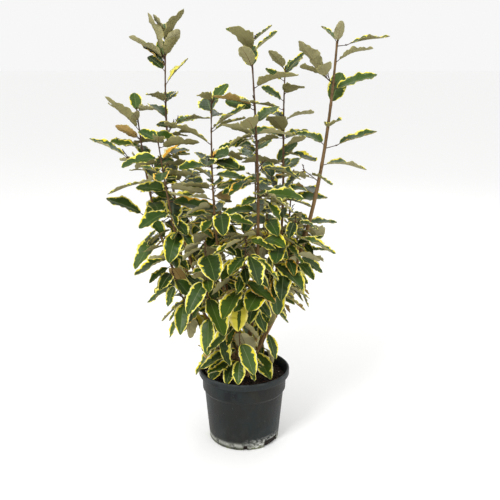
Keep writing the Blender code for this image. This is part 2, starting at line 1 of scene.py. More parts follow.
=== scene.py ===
"""Potted elaeagnus: the looks of a variegated evergreen shrub in a round nursery pot.

Metres, +Z up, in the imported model's frame, with the front towards -Y. The growing rule and its sizes are
those of the solids, so each of their leaves is here with its real outline, colours and stalk. A second
round of smaller leaves then fills the crown within the same reach.
"""

import json
import math
import random
from collections import namedtuple

import bpy
import numpy as np
from mathutils import Matrix, Vector
from mathutils.bvhtree import BVHTree

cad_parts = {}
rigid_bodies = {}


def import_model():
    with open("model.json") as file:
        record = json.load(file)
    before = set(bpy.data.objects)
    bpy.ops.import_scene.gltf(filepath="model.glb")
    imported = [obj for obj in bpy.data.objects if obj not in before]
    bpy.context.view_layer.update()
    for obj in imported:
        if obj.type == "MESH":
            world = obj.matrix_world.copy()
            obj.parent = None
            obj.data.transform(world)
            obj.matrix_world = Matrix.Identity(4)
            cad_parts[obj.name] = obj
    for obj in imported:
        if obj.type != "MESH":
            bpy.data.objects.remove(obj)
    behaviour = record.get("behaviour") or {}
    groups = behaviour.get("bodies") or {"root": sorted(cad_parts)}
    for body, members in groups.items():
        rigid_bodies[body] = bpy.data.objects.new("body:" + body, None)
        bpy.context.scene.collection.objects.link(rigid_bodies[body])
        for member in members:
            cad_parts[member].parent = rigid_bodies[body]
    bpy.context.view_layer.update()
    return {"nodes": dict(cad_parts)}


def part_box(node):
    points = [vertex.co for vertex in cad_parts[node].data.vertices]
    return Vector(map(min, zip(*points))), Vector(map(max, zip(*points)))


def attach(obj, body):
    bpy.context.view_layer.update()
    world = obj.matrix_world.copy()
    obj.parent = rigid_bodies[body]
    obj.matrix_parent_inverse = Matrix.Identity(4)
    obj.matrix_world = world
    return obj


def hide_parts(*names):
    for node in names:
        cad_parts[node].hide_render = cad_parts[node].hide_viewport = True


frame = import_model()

BODY = "root"

# Pot
CLEARANCE = 0.0003
POT_HEIGHT = 0.186
RIM_RADIUS = 0.1125
RIM_BAND = 0.016
RIM_WIDTH = 0.005
SHOULDER_BOTTOM = 0.128
SHOULDER_RADIUS = 0.1045
SHOULDER_DRAFT = 0.001
SHOULDER_STEP = 0.005
WALL_TOP_RADIUS = 0.0985
BASE_RADIUS = 0.0870
BASE_ROUND = 0.002
WALL = 0.0018
FLOOR = 0.0025
SLOT_DEPTH = 0.016
DrainSlot = namedtuple("DrainSlot", "bearing width height")
DRAIN_SLOTS = (
    DrainSlot(bearing=272, width=0.010, height=0.013),
    DrainSlot(bearing=321, width=0.050, height=0.018),
    DrainSlot(bearing=51, width=0.050, height=0.018),
    DrainSlot(bearing=92, width=0.010, height=0.013),
    DrainSlot(bearing=141, width=0.050, height=0.018),
)

# Compost and trunk
SOIL_LEVEL = 0.163
SOIL_LUMPS = 0.004
TRUNK_HEIGHT = 0.050
TRUNK_FLARE = 0.0185
TRUNK_RADIUS = 0.0115

# Stems: cubic curves from the trunk's axis to the tip, given by their bearings and leans in degrees
Stem = namedtuple("Stem", "name rise bearing lean tip tip_bearing tip_lean girth fork enter sparse seed")
STEMS = (
    Stem("left_tall", 0.030, 154, 42, (-0.184, 0.100, 0.975), 330, 4, 0.0090, 0.24, 0.50, 1.0, 80),
    Stem("far_left", 0.020, 180, 48, (-0.247, 0.020, 0.815), 180, 5, 0.0085, 0.26, 0.52, 1.0, 107),
    Stem("left_front", 0.028, 205, 44, (-0.190, -0.070, 0.755), 200, 8, 0.0080, 0.28, 0.55, 1.0, 164),
    Stem("thin_front", 0.028, 240, 30, (-0.070, -0.100, 0.845), 60, 2, 0.0065, 0.26, 0.52, 1.0, 49),
    Stem("centre", 0.030, 290, 28, (0.014, -0.115, 0.965), 180, 4, 0.0095, 0.25, 0.50, 1.0, 66),
    Stem("right_centre", 0.036, 30, 36, (0.098, 0.105, 0.905), 20, 3, 0.0090, 0.25, 0.52, 1.0, 157),
    Stem("right", 0.014, 342, 31, (0.203, -0.030, 0.968), 350, 3, 0.0120, 0.28, 0.54, 1.4, 105),
    Stem("back_left", 0.036, 115, 38, (-0.085, 0.175, 0.680), 110, 10, 0.0075, 0.30, 0.55, 1.2, 45),
    Stem("back", 0.024, 75, 44, (0.030, 0.185, 0.700), 80, 6, 0.0080, 0.30, 0.55, 1.2, 45),
    Stem("back_right", 0.020, 28, 46, (0.125, 0.150, 0.650), 40, 8, 0.0075, 0.32, 0.56, 1.3, 49),
)
STEM_TIP = 0.0022
CURVE_PULL = 0.36
LIMB_SIDES = 6
RING_SPACING = 0.060
WAY_SPAN = 0.006

# Side masses leave the top of a stem's lower limb, and low masses leave the trunk
Shoot = namedtuple("Shoot", "name parent start bearing lean droop length girth sparse seed")
SIDE_SHOOTS = (
    Shoot("left_tall_side", "left_tall_lower_stem", 0.018, 112, 46, -34, 0.24, 0.0040, 1.0, 39),
    Shoot("far_left_side", "far_left_lower_stem", 0.018, 226, 48, -42, 0.22, 0.0040, 1.0, 48),
    Shoot("left_front_side", "left_front_lower_stem", 0.018, 268, 38, -30, 0.25, 0.0040, 1.0, 7),
    Shoot("thin_front_side", "thin_front_lower_stem", 0.018, 296, 40, -36, 0.24, 0.0036, 1.0, 146),
    Shoot("centre_side", "centre_lower_stem", 0.020, 350, 44, -42, 0.25, 0.0040, 1.0, 111),
    Shoot("right_centre_side", "right_centre_lower_stem", 0.020, 335, 42, -38, 0.24, 0.0040, 1.0, 170),
    Shoot("right_side", "right_lower_stem", 0.022, 240, 36, -34, 0.24, 0.0040, 1.0, 128),
    Shoot("back_left_side", "back_left_lower_stem", 0.018, 160, 48, -32, 0.22, 0.0036, 1.2, 50),
    Shoot("back_side", "back_lower_stem", 0.018, 128, 44, -32, 0.22, 0.0036, 1.2, 163),
    Shoot("back_right_side", "back_right_lower_stem", 0.018, 95, 40, -30, 0.20, 0.0036, 1.2, 169),
)
LOW_SHOOTS = (
    Shoot("low_front", "trunk", 0.010, 262, 50, -44, 0.20, 0.0036, 1.0, 119),
    Shoot("low_front_left", "trunk", 0.009, 222, 54, -44, 0.20, 0.0036, 1.0, 87),
    Shoot("low_left", "trunk", 0.006, 192, 56, -44, 0.17, 0.0036, 1.0, 89),
    Shoot("low_back_left", "trunk", 0.009, 134, 54, -44, 0.16, 0.0036, 1.2, 81),
    Shoot("low_back_right", "trunk", 0.007, 52, 54, -48, 0.16, 0.0036, 1.2, 153),
    Shoot("low_right", "trunk", 0.009, 316, 46, -44, 0.22, 0.0036, 1.0, 141),
)
SHOOT_TIP = 0.0022
SHOOT_SIDES = 4

# Furthest leaves: each grows first, from a share of its mass's stem, and its tip comes to a given place
Reach = namedtuple("Reach", "mass share tip")
REACHES = (
    Reach("left_tall_top_leaves", 0.96, (-0.196, 0.100, 1.021)),
    Reach("left_tall_top_leaves", 0.88, (-0.272, 0.085, 0.972)),
    Reach("far_left_top_leaves", 0.86, (-0.320, 0.000, 0.842)),
    Reach("far_left_top_leaves", 0.62, (-0.361, 0.010, 0.744)),
    Reach("far_left_top_leaves", 0.22, (-0.327, 0.000, 0.606)),
    Reach("right_top_leaves", 0.97, (0.317, -0.040, 0.970)),
    Reach("right_top_leaves", 0.72, (0.297, -0.020, 0.889)),
    Reach("right_top_leaves", 0.38, (0.300, -0.040, 0.766)),
    Reach("left_tall_side_leaves", 0.34, (-0.224, 0.060, 0.352)),
    Reach("right_side_leaves", 0.12, (0.180, -0.050, 0.382)),
)
LEAF_REACH = 0.098
REACH_SPREAD = 0.007

# Leaves of the growing rule
LEAF_TURN = 137.5
LEAF_SPACING_LOW = 0.025
LEAF_SPACING_TOP = 0.043
SPARSE_FROM = 0.66
LEAF_LENGTH_LOW = 0.094
LEAF_LENGTH_TOP = 0.085
LEAF_SLIMNESS = 0.50
LEAF_THICKNESS = 0.015
LEAF_STATIONS = (0.0, 0.30, 0.66, 1.0)
LEAF_TROUGH = 22
LEAF_WAVE = 0.05
PETIOLE = 0.011
PETIOLE_GIRTH = 0.0017
RISE_LOW = -50
RISE_TOP = 48
CROWN_FOOT = 0.25
CROWN_TOP = 0.95
LEAF_ROLL = 28
LEAF_CURL = (8, 44)
REACH_CURL = (10, 24)
LENGTH_RANGE = (0.82, 1.18)
SLIMNESS_RANGE = (0.86, 1.12)
SPACING_RANGE = (0.8, 1.2)
BARE_FOOT = 0.035
BARE_SHARE = 0.3
TIP_LEAF_PLACES = (0.05, 0.13)
TIP_LEAF_TURN = 150
TIP_LEAF_SIZE = 0.66

# Twigs of the growing rule
TWIG_EVERY = 5
FIRST_TWIG = 2
TWIG_LENGTH = 0.050
TWIG_LENGTH_RANGE = (0.7, 1.2)
TWIG_LEAN = 52
TWIG_GIRTH = 0.0026
TWIG_SIDES = 3
TWIG_LEAF_TURNS = (-60, 60, 0)
TWIG_LEAF_SIZE = 0.86
TWIG_END = 0.03

# Tries and clearances of the growing rule
TRIES = 7
FIRST_SPREAD = 14
MORE_SPREAD = 9
SEED_STEP = 1000
NODE_STEP = 10
ROOM = 0.0006
KEEP_OFF = 0.0015
SPACE = 0.125
WOOD = "_wood"
STALK_FACES = (
    *((0, 2, 1), (0, 1, 4), (0, 4, 3), (1, 2, 5), (1, 5, 4), (2, 0, 3), (2, 3, 5)),
    *((3, 4, 7), (3, 7, 6), (4, 8, 7), (3, 6, 9), (3, 9, 5), (4, 5, 9), (4, 9, 8)),
)
Leaf = namedtuple("Leaf", "root bearing rise roll length slimness curl wave")
Limb = namedtuple("Limb", "name path ways radii cut_by")
Mass = namedtuple("Mass", "name path ways radii cut_by sparse seed")

# Second round of growth: smaller leaves between the first ones, inside each mass's own space
FILL_ROUNDS = 2
FILL_FIRST_NUMBER = 1200
FILL_SPACING_LOW = 0.026
FILL_SPACING_TOP = 0.110
FILL_SPARSE_FROM = 0.46
FILL_SIZE = 0.72
FILL_SIZE_RANGE = (0.65, 1.1)
FILL_TURN = 77
FILL_ROLL = 50
FILL_OPEN = ("low_front_leaves", "low_right_leaves", "right_top_leaves")
BOX_MARGIN = 0.001
SHORT_LEAVES = {
    "low_right_leaves": {0: 0.55, 1: 0.60},
    "low_front_leaves": {1: 0.75, 2: 0.80, 3: 0.55, 5: 0.85},
    "low_front_left_leaves": {1: 0.60},
}
GOLDEN_LEAVES = {"thin_front_side_leaves": (1,), "far_left_side_leaves": (14,)}

# Blades: rows along the leaf, and on each side of the rib columns at the edges of the colour zones
ARC_STEPS = 12
BLADE_ROWS = 28
FOOT_FULLNESS = (0.50, 0.62)
TIP_FULLNESS_LOW = (0.66, 0.86)
TIP_FULLNESS_TOP = (0.52, 0.70)
RIB_WIDTH = 0.0011
MARGIN_INSIDE_LOW = 0.74
MARGIN_INSIDE_TOP = 0.91
MARGIN_SWING = 0.13
MARGIN_BITE = 0.40
BITE_FROM = 0.52
MARGIN_LIMITS = (0.34, 0.965)
RIM_SHARE = 0.30
MID_GAP = 0.05
MID_SWING = 0.24
PLAIN_YELLOW_SHARE = 0.022
GREY_BORDER_SHARE = 0.55
BLADE_THICKNESS = 0.0006
RIM_THICKNESS_SHARE = 0.5
TROUGH_SHARE = 0.75
EDGE_WAVES = ((1.6, 0.034), (4.3, 0.019), (8.7, 0.008))
OUTLINE_WOBBLE = 0.06
TEETH = 11
TEETH_DEPTH = 0.040
VEINS = 7
VEIN_SWEEP = 1.4
VEIN_LIFT = 0.0012
TIP_RECURVE = 0.05
LEAF_GROUPS = (
    ("left_leaves", ("left_tall_top", "far_left_top", "left_front_top")),
    ("left_side_leaves", ("left_tall_side", "far_left_side", "left_front_side")),
    ("middle_leaves", ("thin_front_top", "centre_top", "thin_front_side", "centre_side")),
    ("right_leaves", ("right_centre_top", "right_top", "right_centre_side", "right_side")),
    ("back_leaves", ("back_left_top", "back_top", "back_right_top")),
    ("rear_side_leaves", ("back_left_side", "back_side", "back_right_side")),
    ("low_leaves", ("low_front", "low_front_left", "low_left")),
    ("low_back_leaves", ("low_back_left", "low_back_right", "low_right")),
)

# Wood: stems swell a little at each leaf, and bare bud spurs stand at some of them
WOOD_SIDES = 6
STEM_POINTS = 0.006
STEM_BEVEL = 5
MERGE = 1e-6
NODE_SWELL = 0.16
NODE_SPAN = 0.004
BARK_RELIEF = 0.0007
BARK_GRAIN = 0.006
TRUNK_TURN_SIDES = 40
SPUR_EVERY = 5
STOUT_TIPS = {"right": 0.0050}
STEM_END = 0.0028
TAPER = 1.5
SPUR_LENGTH = (0.008, 0.022)
SPUR_GIRTH = 0.0026
BUD_LENGTH = 0.0050
BUD_GIRTH = 0.0026

# Pot and compost surfaces
POT_SIDES = 160
SLOT_CORNER = 0.003
SOIL_SIDES = 120
SOIL_STEPS = 34
SOIL_RELIEF = 0.007
SOIL_GRAIN_SIZE = 0.010
LUMP_ROUGHNESS = 0.3
LUMP_FLATNESS = 0.8
CRUMBS = 900
CRUMB_SIZE = (0.0012, 0.0042)
FIBRES = 110
SPECKS = 26
SPECK_SIZE = (0.0006, 0.0015)
CHIP_PLACE = (0.0085, -0.0985, 0.1600)
CHIP_SIZE = (0.0048, 0.0018, 0.0105)

# Camera: fitted to the pot's rim and foot in the photograph, which is 500 pixels square
PHOTO_SIZE = 500
AXIS_COLUMN = 244.1
FOCAL_PIXELS = 736.9
CAMERA_BACK = 1.7
CAMERA_HEIGHT = 0.9543
CAMERA_DOWN = 15.38
SENSOR = 36


def lerp(a, b, t):
    return a + (b - a) * t


def heading(bearing, lean):
    """The unit vector that leans off the vertical by an angle, towards a compass bearing from +X."""
    flat = math.sin(math.radians(lean))
    turn = math.radians(bearing)
    return Vector((flat * math.cos(turn), flat * math.sin(turn), math.cos(math.radians(lean))))


def stem_curve(stem, steps=60):
    """Points along a stem, from the trunk's axis to the tip."""
    start = Vector((0.0, 0.0, SOIL_LEVEL + stem.rise))
    end = Vector(stem.tip)
    pull = CURVE_PULL * (end - start).length
    second = start + heading(stem.bearing, stem.lean) * pull
    third = end - heading(stem.tip_bearing, stem.tip_lean) * pull
    points = []
    for step in range(steps + 1):
        t = step / steps
        s = 1 - t
        points.append(start * s**3 + second * 3 * s * s * t + third * 3 * s * t * t + end * t**3)
    return points


def shoot_curve(shoot, start, steps=24):
    """Points along a side shoot, whose lean changes by its droop from foot to tip."""
    points = [start.copy()]
    for step in range(steps):
        lean = shoot.lean + shoot.droop * (step + 0.5) / steps
        points.append(points[-1] + heading(shoot.bearing, lean) * shoot.length / steps)
    return points


def lengths_of(points):
    total = [0.0]
    for a, b in zip(points, points[1:]):
        total.append(total[-1] + (b - a).length)
    return total


def stretch(points, start, end):
    """The part of a curve between two lengths along it: its rings' places, and the way ahead at each."""
    along = lengths_of(points)
    count = max(2, round((end - start) / RING_SPACING))
    marks = [lerp(start, end, n / count) for n in range(count + 1)]
    path = [point_at(points, along, mark) for mark in marks]
    ways = [way_at(points, along, mark) for mark in marks]
    return path, ways


def point_at(points, along, length):
    for n in range(len(points) - 1):
        if along[n + 1] >= length:
            t = (length - along[n]) / (along[n + 1] - along[n])
            return points[n].lerp(points[n + 1], t)
    return points[-1].copy()


def way_at(points, along, length):
    before = point_at(points, along, max(0.0, length - WAY_SPAN))
    after = point_at(points, along, min(along[-1], length + WAY_SPAN))
    return (after - before).normalized()


def sweep(path, ways, radii, sides):
    """Points and faces of a closed tapering limb along a path."""
    verts = []
    faces = []
    side = Vector((0.0, 1.0, 0.0))
    for point, way, radius in zip(path, ways, radii):
        side = (side - way * side.dot(way)).normalized()
        up = way.cross(side)
        for k in range(sides):
            turn = math.tau * k / sides
            verts.append(point + (side * math.cos(turn) + up * math.sin(turn)) * radius)
    for n in range(len(path) - 1):
        for k in range(sides):
            a = n * sides + k
            b = n * sides + (k + 1) % sides
            faces.append((a, b, b + sides, a + sides))
    faces.append(tuple(reversed(range(sides))))
    faces.append(tuple(range(len(verts) - sides, len(verts))))
    return verts, faces


def grown_sweep(limb, extra, sides):
    """A limb's or a mass stem's shape, thicker all round by a little."""
    return sweep(limb.path, limb.ways, [radius + extra for radius in limb.radii], sides)


def leaf_width(t):
    """Half width along the blade as a share of its widest: full below the middle, drawn out to the tip."""
    return (t / 0.42) ** 0.62 * ((1 - t) / 0.58) ** 0.86


def leaf_frames(leaf, stations):
    """For each station of the blade: its place, the way sideways and the way out of the upper face."""
    out = heading(leaf.bearing, 90)
    across = Vector((0.0, 0.0, 1.0)).cross(out)
    frames = []
    place = leaf.root.copy()
    steps = 12
    marks = [round(t * steps) for t in stations]
    rise = math.radians(leaf.rise)
    place += (out * math.cos(rise) + Vector((0, 0, math.sin(rise)))) * PETIOLE
    for step in range(steps + 1):
        angle = math.radians(leaf.rise - leaf.curl * step / steps)
        ahead = out * math.cos(angle) + Vector((0, 0, math.sin(angle)))
        if step in marks:
            rolled = Matrix.Rotation(math.radians(leaf.roll), 3, ahead)
            side = rolled @ across
            frames.append((place.copy(), side, ahead.cross(side)))
        place += ahead * leaf.length / steps
    return frames


def leaf_shape(leaf, extra=0.0, petiole=True):
    """Points and faces of a leaf: a thin blade along a curling midrib, on a three-sided stalk.

    The blade's two faces are split along the same diagonals, so that they never cross.
    """
    frames = leaf_frames(leaf, LEAF_STATIONS)
    stalk = PETIOLE_GIRTH / 2 + extra
    foot, side, up = frames[0]
    verts = []
    for place in (leaf.root, foot) if petiole else (foot.lerp(leaf.root, 0.05), foot):
        verts += [place + side * stalk + up * stalk / 2, place - side * stalk + up * stalk / 2]
        verts.append(place - up * stalk)
    for n, t in enumerate(LEAF_STATIONS[1:-1]):
        place, side, up = frames[n + 1]
        half = leaf.length * leaf.slimness / 2 * leaf_width(t) + extra
        lift = half * math.tan(math.radians(LEAF_TROUGH))
        wave = leaf.length * LEAF_WAVE * (1 if n % 2 else -1) * leaf.wave
        ridge = up * (leaf.length * LEAF_THICKNESS / 2 + extra)
        verts += [place + side * half + up * (lift + wave), place + ridge]
        verts += [place - side * half + up * (lift - wave), place - ridge]
    verts.append(frames[-1][0])
    faces = list(STALK_FACES)
    for n in range(6, len(verts) - 5, 4):
        left, top, right, under = range(n, n + 4)
        faces += [(left, left + 4, top + 4), (left, top + 4, top)]
        faces += [(right, top, top + 4), (right, top + 4, right + 4)]
        faces += [(right, right + 4, under + 4), (right, under + 4, under)]
        faces += [(left, under, under + 4), (left, under + 4, left + 4)]
    left, top, right, under, tip = range(len(verts) - 5, len(verts))
    faces += [(left, tip, top), (top, tip, right), (right, tip, under), (under, tip, left)]
    return verts, faces


class Crown:
    """What has grown so far, so that nothing new touches it."""

    def __init__(self):
        self.solids = []

    def add(self, owner, verts, faces):
        self.solids.append((owner, BVHTree.FromPolygons(verts, faces), *box_of(verts)))

    def touches(self, verts, faces, leave_out=()):
        low, high = box_of(verts)
        tree = None
        for owner, other, other_low, other_high in self.solids:
            if owner in leave_out:
                continue
            if any(low[k] > other_high[k] or high[k] < other_low[k] for k in range(3)):
                continue
            tree = tree or BVHTree.FromPolygons(verts, faces)
            if tree.overlap(other):
                return True
        return False


def box_of(verts):
    low = [min(v[k] for v in verts) for k in range(3)]
    high = [max(v[k] for v in verts) for k in range(3)]
    return low, high


def by_height(height, low, top, changes_from=None):
    """A value that changes evenly from the foot of the crown, or from a given height, to its top."""
    foot = changes_from or CROWN_FOOT
    return lerp(low, top, min(1.0, max(0.0, (height - foot) / (CROWN_TOP - foot))))


def spacing_at(height):
    return by_height(height, LEAF_SPACING_LOW, LEAF_SPACING_TOP, SPARSE_FROM)


def settle(crown, mass, leaf, space=SPACE):
    """Whether a leaf keeps to its mass's space and touches nothing; if so, it joins the crown."""
    whole = leaf_shape(leaf, ROOM)
    blade = leaf_shape(leaf, ROOM, petiole=False)
    if max(min((v - p).length for p in mass.path) for v in blade[0]) > space:
        return False
    if crown.touches(*blade) or crown.touches(*whole, leave_out=(mass.name, mass.name + WOOD)):
        return False
    crown.add(mass.name, *leaf_shape(leaf))
    return True


def try_leaf(crown, mass, root, bearing, number, size=1.0, roll=LEAF_ROLL):
    """A leaf near this bearing that stays in the mass's space and touches nothing, or None."""
    rng = random.Random(mass.seed * SEED_STEP + number)
    for attempt in range(TRIES):
        spread = FIRST_SPREAD + MORE_SPREAD * attempt
        length = by_height(root.z, LEAF_LENGTH_LOW, LEAF_LENGTH_TOP) * size
        leaf = Leaf(
            root=root,
            bearing=bearing + rng.uniform(-spread, spread),
            rise=by_height(root.z, RISE_LOW, RISE_TOP) + rng.uniform(-spread, spread),
            roll=rng.uniform(-roll, roll),
            length=length * rng.uniform(*LENGTH_RANGE),
            slimness=LEAF_SLIMNESS * rng.uniform(*SLIMNESS_RANGE),
            curl=rng.uniform(*LEAF_CURL),
            wave=rng.uniform(-1, 1),
        )
        if settle(crown, mass, leaf):
            return leaf
    return None


def try_reach(crown, mass, reach, number):
    """A leaf whose tip comes to a given place, and the twig it needs where it alone would fall short."""
    rng = random.Random(mass.seed * SEED_STEP + number)
    along = lengths_of(mass.path)
    for attempt in range(TRIES):
        spread = REACH_SPREAD * attempt
        tip = Vector(reach.tip) + Vector([rng.uniform(-spread, spread) for _ in range(3)])
        root = point_at(mass.path, along, along[-1] * reach.share - spread)
        way = (tip - root).normalized()
        short = (tip - root).length - LEAF_REACH
        twig = [root, root + way * short] if short > PETIOLE else None
        if twig and crown.touches(*twig_shape(twig, ROOM), leave_out=(mass.name + WOOD,)):
            continue
        root = root.lerp(twig[1], 1 - TWIG_END) if twig else root
        curl = rng.uniform(*REACH_CURL)
        leaf = Leaf(
            root=root,
            bearing=math.degrees(math.atan2(way.y, way.x)),
            rise=math.degrees(math.asin(way.z)) + curl / 2,
            roll=rng.uniform(-LEAF_ROLL, LEAF_ROLL),
            length=(tip - root).length - PETIOLE,
            slimness=LEAF_SLIMNESS * rng.uniform(*SLIMNESS_RANGE),
            curl=curl,
            wave=rng.uniform(-1, 1),
        )
        if settle(crown, mass, leaf, 2 * SPACE):
            if twig:
                crown.add(mass.name + WOOD, *twig_shape(twig, ROOM))
            return twig, leaf
    return None, None


def twig_shape(path, extra=0.0):
    way = (path[1] - path[0]).normalized()
    return sweep(path, (way, way), (TWIG_GIRTH / 2 + extra, TWIG_GIRTH / 3 + extra), TWIG_SIDES)


def try_twig(crown, mass, root, bearing, number):
    """A short straight twig near this bearing, as its two ends, or None where it would touch something."""
    rng = random.Random(mass.seed * SEED_STEP + number)
    for attempt in range(TRIES):
        spread = FIRST_SPREAD + MORE_SPREAD * attempt
        lean = TWIG_LEAN + rng.uniform(-spread, spread) / 2
        way = heading(bearing + rng.uniform(-spread, spread), lean)
        path = [root, root + way * TWIG_LENGTH * rng.uniform(*TWIG_LENGTH_RANGE)]
        verts, faces = twig_shape(path, ROOM)
        if not crown.touches(verts, faces, leave_out=(mass.name + WOOD,)):
            crown.add(mass.name + WOOD, verts, faces)
            return path
    return None


def grow(crown, mass):
    """The twigs and leaves of one mass, from the foot of its stem to its tip."""
    reaches = [reach for reach in REACHES if reach.mass == mass.name]
    grown = [try_reach(crown, mass, reach, n + 1) for n, reach in enumerate(reaches)]
    twigs = [twig for twig, _ in grown if twig]
    leaves = [leaf for _, leaf in grown]
    along = lengths_of(mass.path)
    length = along[-1]
    rng = random.Random(mass.seed)
    turn = rng.uniform(0, 360)
    place = min(BARE_FOOT, BARE_SHARE * length)
    node = 0
    while place < length:
        root = point_at(mass.path, along, place)
        node += 1
        number = node * NODE_STEP
        turn += LEAF_TURN
        twig = None
        if node % TWIG_EVERY == FIRST_TWIG and length - place > TWIG_LENGTH:
            twig = try_twig(crown, mass, root, turn, number)
        if twig:
            twigs.append(twig)
            for n, aside in enumerate(TWIG_LEAF_TURNS):
                spot = root.lerp(twig[1], (n + 1) / len(TWIG_LEAF_TURNS) - TWIG_END)
                leaves.append(try_leaf(crown, mass, spot, turn + aside, number + n + 1, TWIG_LEAF_SIZE))
        else:
            leaves.append(try_leaf(crown, mass, root, turn, number))
        place += spacing_at(root.z) * mass.sparse * rng.uniform(*SPACING_RANGE)
    for n, back in enumerate(TIP_LEAF_PLACES):
        root = mass.path[-1].lerp(mass.path[-2], back)
        turn += TIP_LEAF_TURN
        leaves.append(try_leaf(crown, mass, root, turn, (node + n + 1) * NODE_STEP, TIP_LEAF_SIZE))
    return twigs, [leaf for leaf in leaves if leaf]


def turned_shape(profile, segments=24):
    """Points and faces of the same kind of solid, left open at its ends, for growth to keep off."""
    verts = []
    for n in range(segments):
        turn = math.tau * n / segments
        verts += [Vector((r * math.cos(turn), r * math.sin(turn), z)) for r, z in profile]
    count = len(profile)
    faces = []
    for n in range(segments):
        for k in range(count - 1):
            a = n * count + k
            b = (n + 1) % segments * count + k
            faces.append((a, b, b + 1, a + 1))
    return verts, faces


def inner_profile(gap=0.0):
    """The pot's inner wall from the floor up, moved inwards by a gap."""
    return [
        (BASE_RADIUS - WALL - gap, FLOOR + gap),
        (WALL_TOP_RADIUS - WALL - gap, SHOULDER_BOTTOM),
        (SHOULDER_RADIUS - SHOULDER_DRAFT - WALL - gap, SHOULDER_BOTTOM + SHOULDER_STEP * 1.5),
        (SHOULDER_RADIUS - WALL - gap, POT_HEIGHT - RIM_BAND - WALL),
        (RIM_RADIUS - RIM_WIDTH - gap, POT_HEIGHT - WALL),
    ]


def pot_profile():
    band_foot = POT_HEIGHT - RIM_BAND
    outer = [
        (0.0, 0.0),
        (BASE_RADIUS - BASE_ROUND, 0.0),
        (BASE_RADIUS, BASE_ROUND),
        (WALL_TOP_RADIUS, SHOULDER_BOTTOM),
        (SHOULDER_RADIUS - SHOULDER_DRAFT, SHOULDER_BOTTOM + SHOULDER_STEP * 1.5),
        (SHOULDER_RADIUS, band_foot - BASE_ROUND),
        (RIM_RADIUS - BASE_ROUND / 2, band_foot),
        (RIM_RADIUS, band_foot + BASE_ROUND),
        (RIM_RADIUS, POT_HEIGHT - BASE_ROUND),
        (RIM_RADIUS - BASE_ROUND, POT_HEIGHT),
        (RIM_RADIUS - RIM_WIDTH + BASE_ROUND / 2, POT_HEIGHT),
    ]
    return outer + inner_profile()[::-1] + [(0.0, FLOOR)]


def trunk_profile(extra=0.0):
    foot = SOIL_LEVEL + CLEARANCE - extra
    return [
        (0.0, foot),
        (TRUNK_FLARE + extra, foot),
        (TRUNK_FLARE * 0.76 + extra, foot + TRUNK_HEIGHT * 0.12),
        (TRUNK_RADIUS + extra, foot + TRUNK_HEIGHT * 0.36),
        (TRUNK_RADIUS + extra, foot + TRUNK_HEIGHT * 0.80),
        (TRUNK_RADIUS * 0.7 + extra, SOIL_LEVEL + TRUNK_HEIGHT * 0.95 + extra),
        (0.0, SOIL_LEVEL + TRUNK_HEIGHT + extra),
    ]


def spread_evenly(first, last, count):
    return [lerp(first, last, n / (count - 1)) for n in range(count)]


def plan_plant():
    """The bare limbs and the leafy masses' stems, each as a path with its radii, in growing order."""
    limbs = []
    masses = []
    ends = {"trunk": None}
    for stem in STEMS:
        curve = stem_curve(stem)
        whole = lengths_of(curve)[-1]
        cuts = (0.0, stem.fork * whole, stem.enter * whole, whole)
        for part, start, end in zip(("lower_stem", "upper_stem", "top_leaves"), cuts, cuts[1:]):
            path, ways = stretch(curve, start + (CLEARANCE if start else 0), end)
            radii = [lerp(stem.girth, STEM_TIP, place / whole) / 2 for place in (start, end)]
            radii = spread_evenly(*radii, len(path))
            name = f"{stem.name}_{part}"
            if part == "top_leaves":
                masses.append(Mass(name, path, ways, radii, None, stem.sparse, stem.seed))
            else:
                limbs.append(Limb(name, path, ways, radii, "trunk" if part == "lower_stem" else None))
                ends[name] = path
    for shoot in SIDE_SHOOTS + LOW_SHOOTS:
        start = Vector((0.0, 0.0, SOIL_LEVEL + shoot.start))
        path = ends[shoot.parent]
        if path:
            along = lengths_of(path)
            start = point_at(path, along, along[-1] - shoot.start)
        path, ways = stretch(shoot_curve(shoot, start), 0.0, shoot.length)
        radii = spread_evenly(shoot.girth / 2, SHOOT_TIP / 2, len(path))
        name = shoot.name + "_leaves"
        masses.append(Mass(name, path, ways, radii, shoot.parent, shoot.sparse, shoot.seed))
    return limbs, masses


def bare_crown(limbs, masses):
    """The crown before any leaf: what the leaves and twigs keep off."""
    crown = Crown()
    mouth = RIM_RADIUS - RIM_WIDTH - KEEP_OFF
    rim = RIM_RADIUS + KEEP_OFF
    top = POT_HEIGHT + KEEP_OFF
    ground = SOIL_LEVEL + SOIL_LUMPS + KEEP_OFF
    crown.add("pot", *turned_shape([(mouth, ground), (mouth, top), (rim, top), (rim, 0.0)]))
    crown.add("soil", *turned_shape([(KEEP_OFF, ground), (mouth, ground)]))
    crown.add("trunk", *turned_shape([(r, z) for r, z in trunk_profile(KEEP_OFF) if r > 0]))
    for limb in limbs:
        crown.add(limb.name, *grown_sweep(limb, ROOM, LIMB_SIDES))
    for mass in masses:
        crown.add(mass.name + WOOD, *grown_sweep(mass, ROOM, SHOOT_SIDES))
    return crown


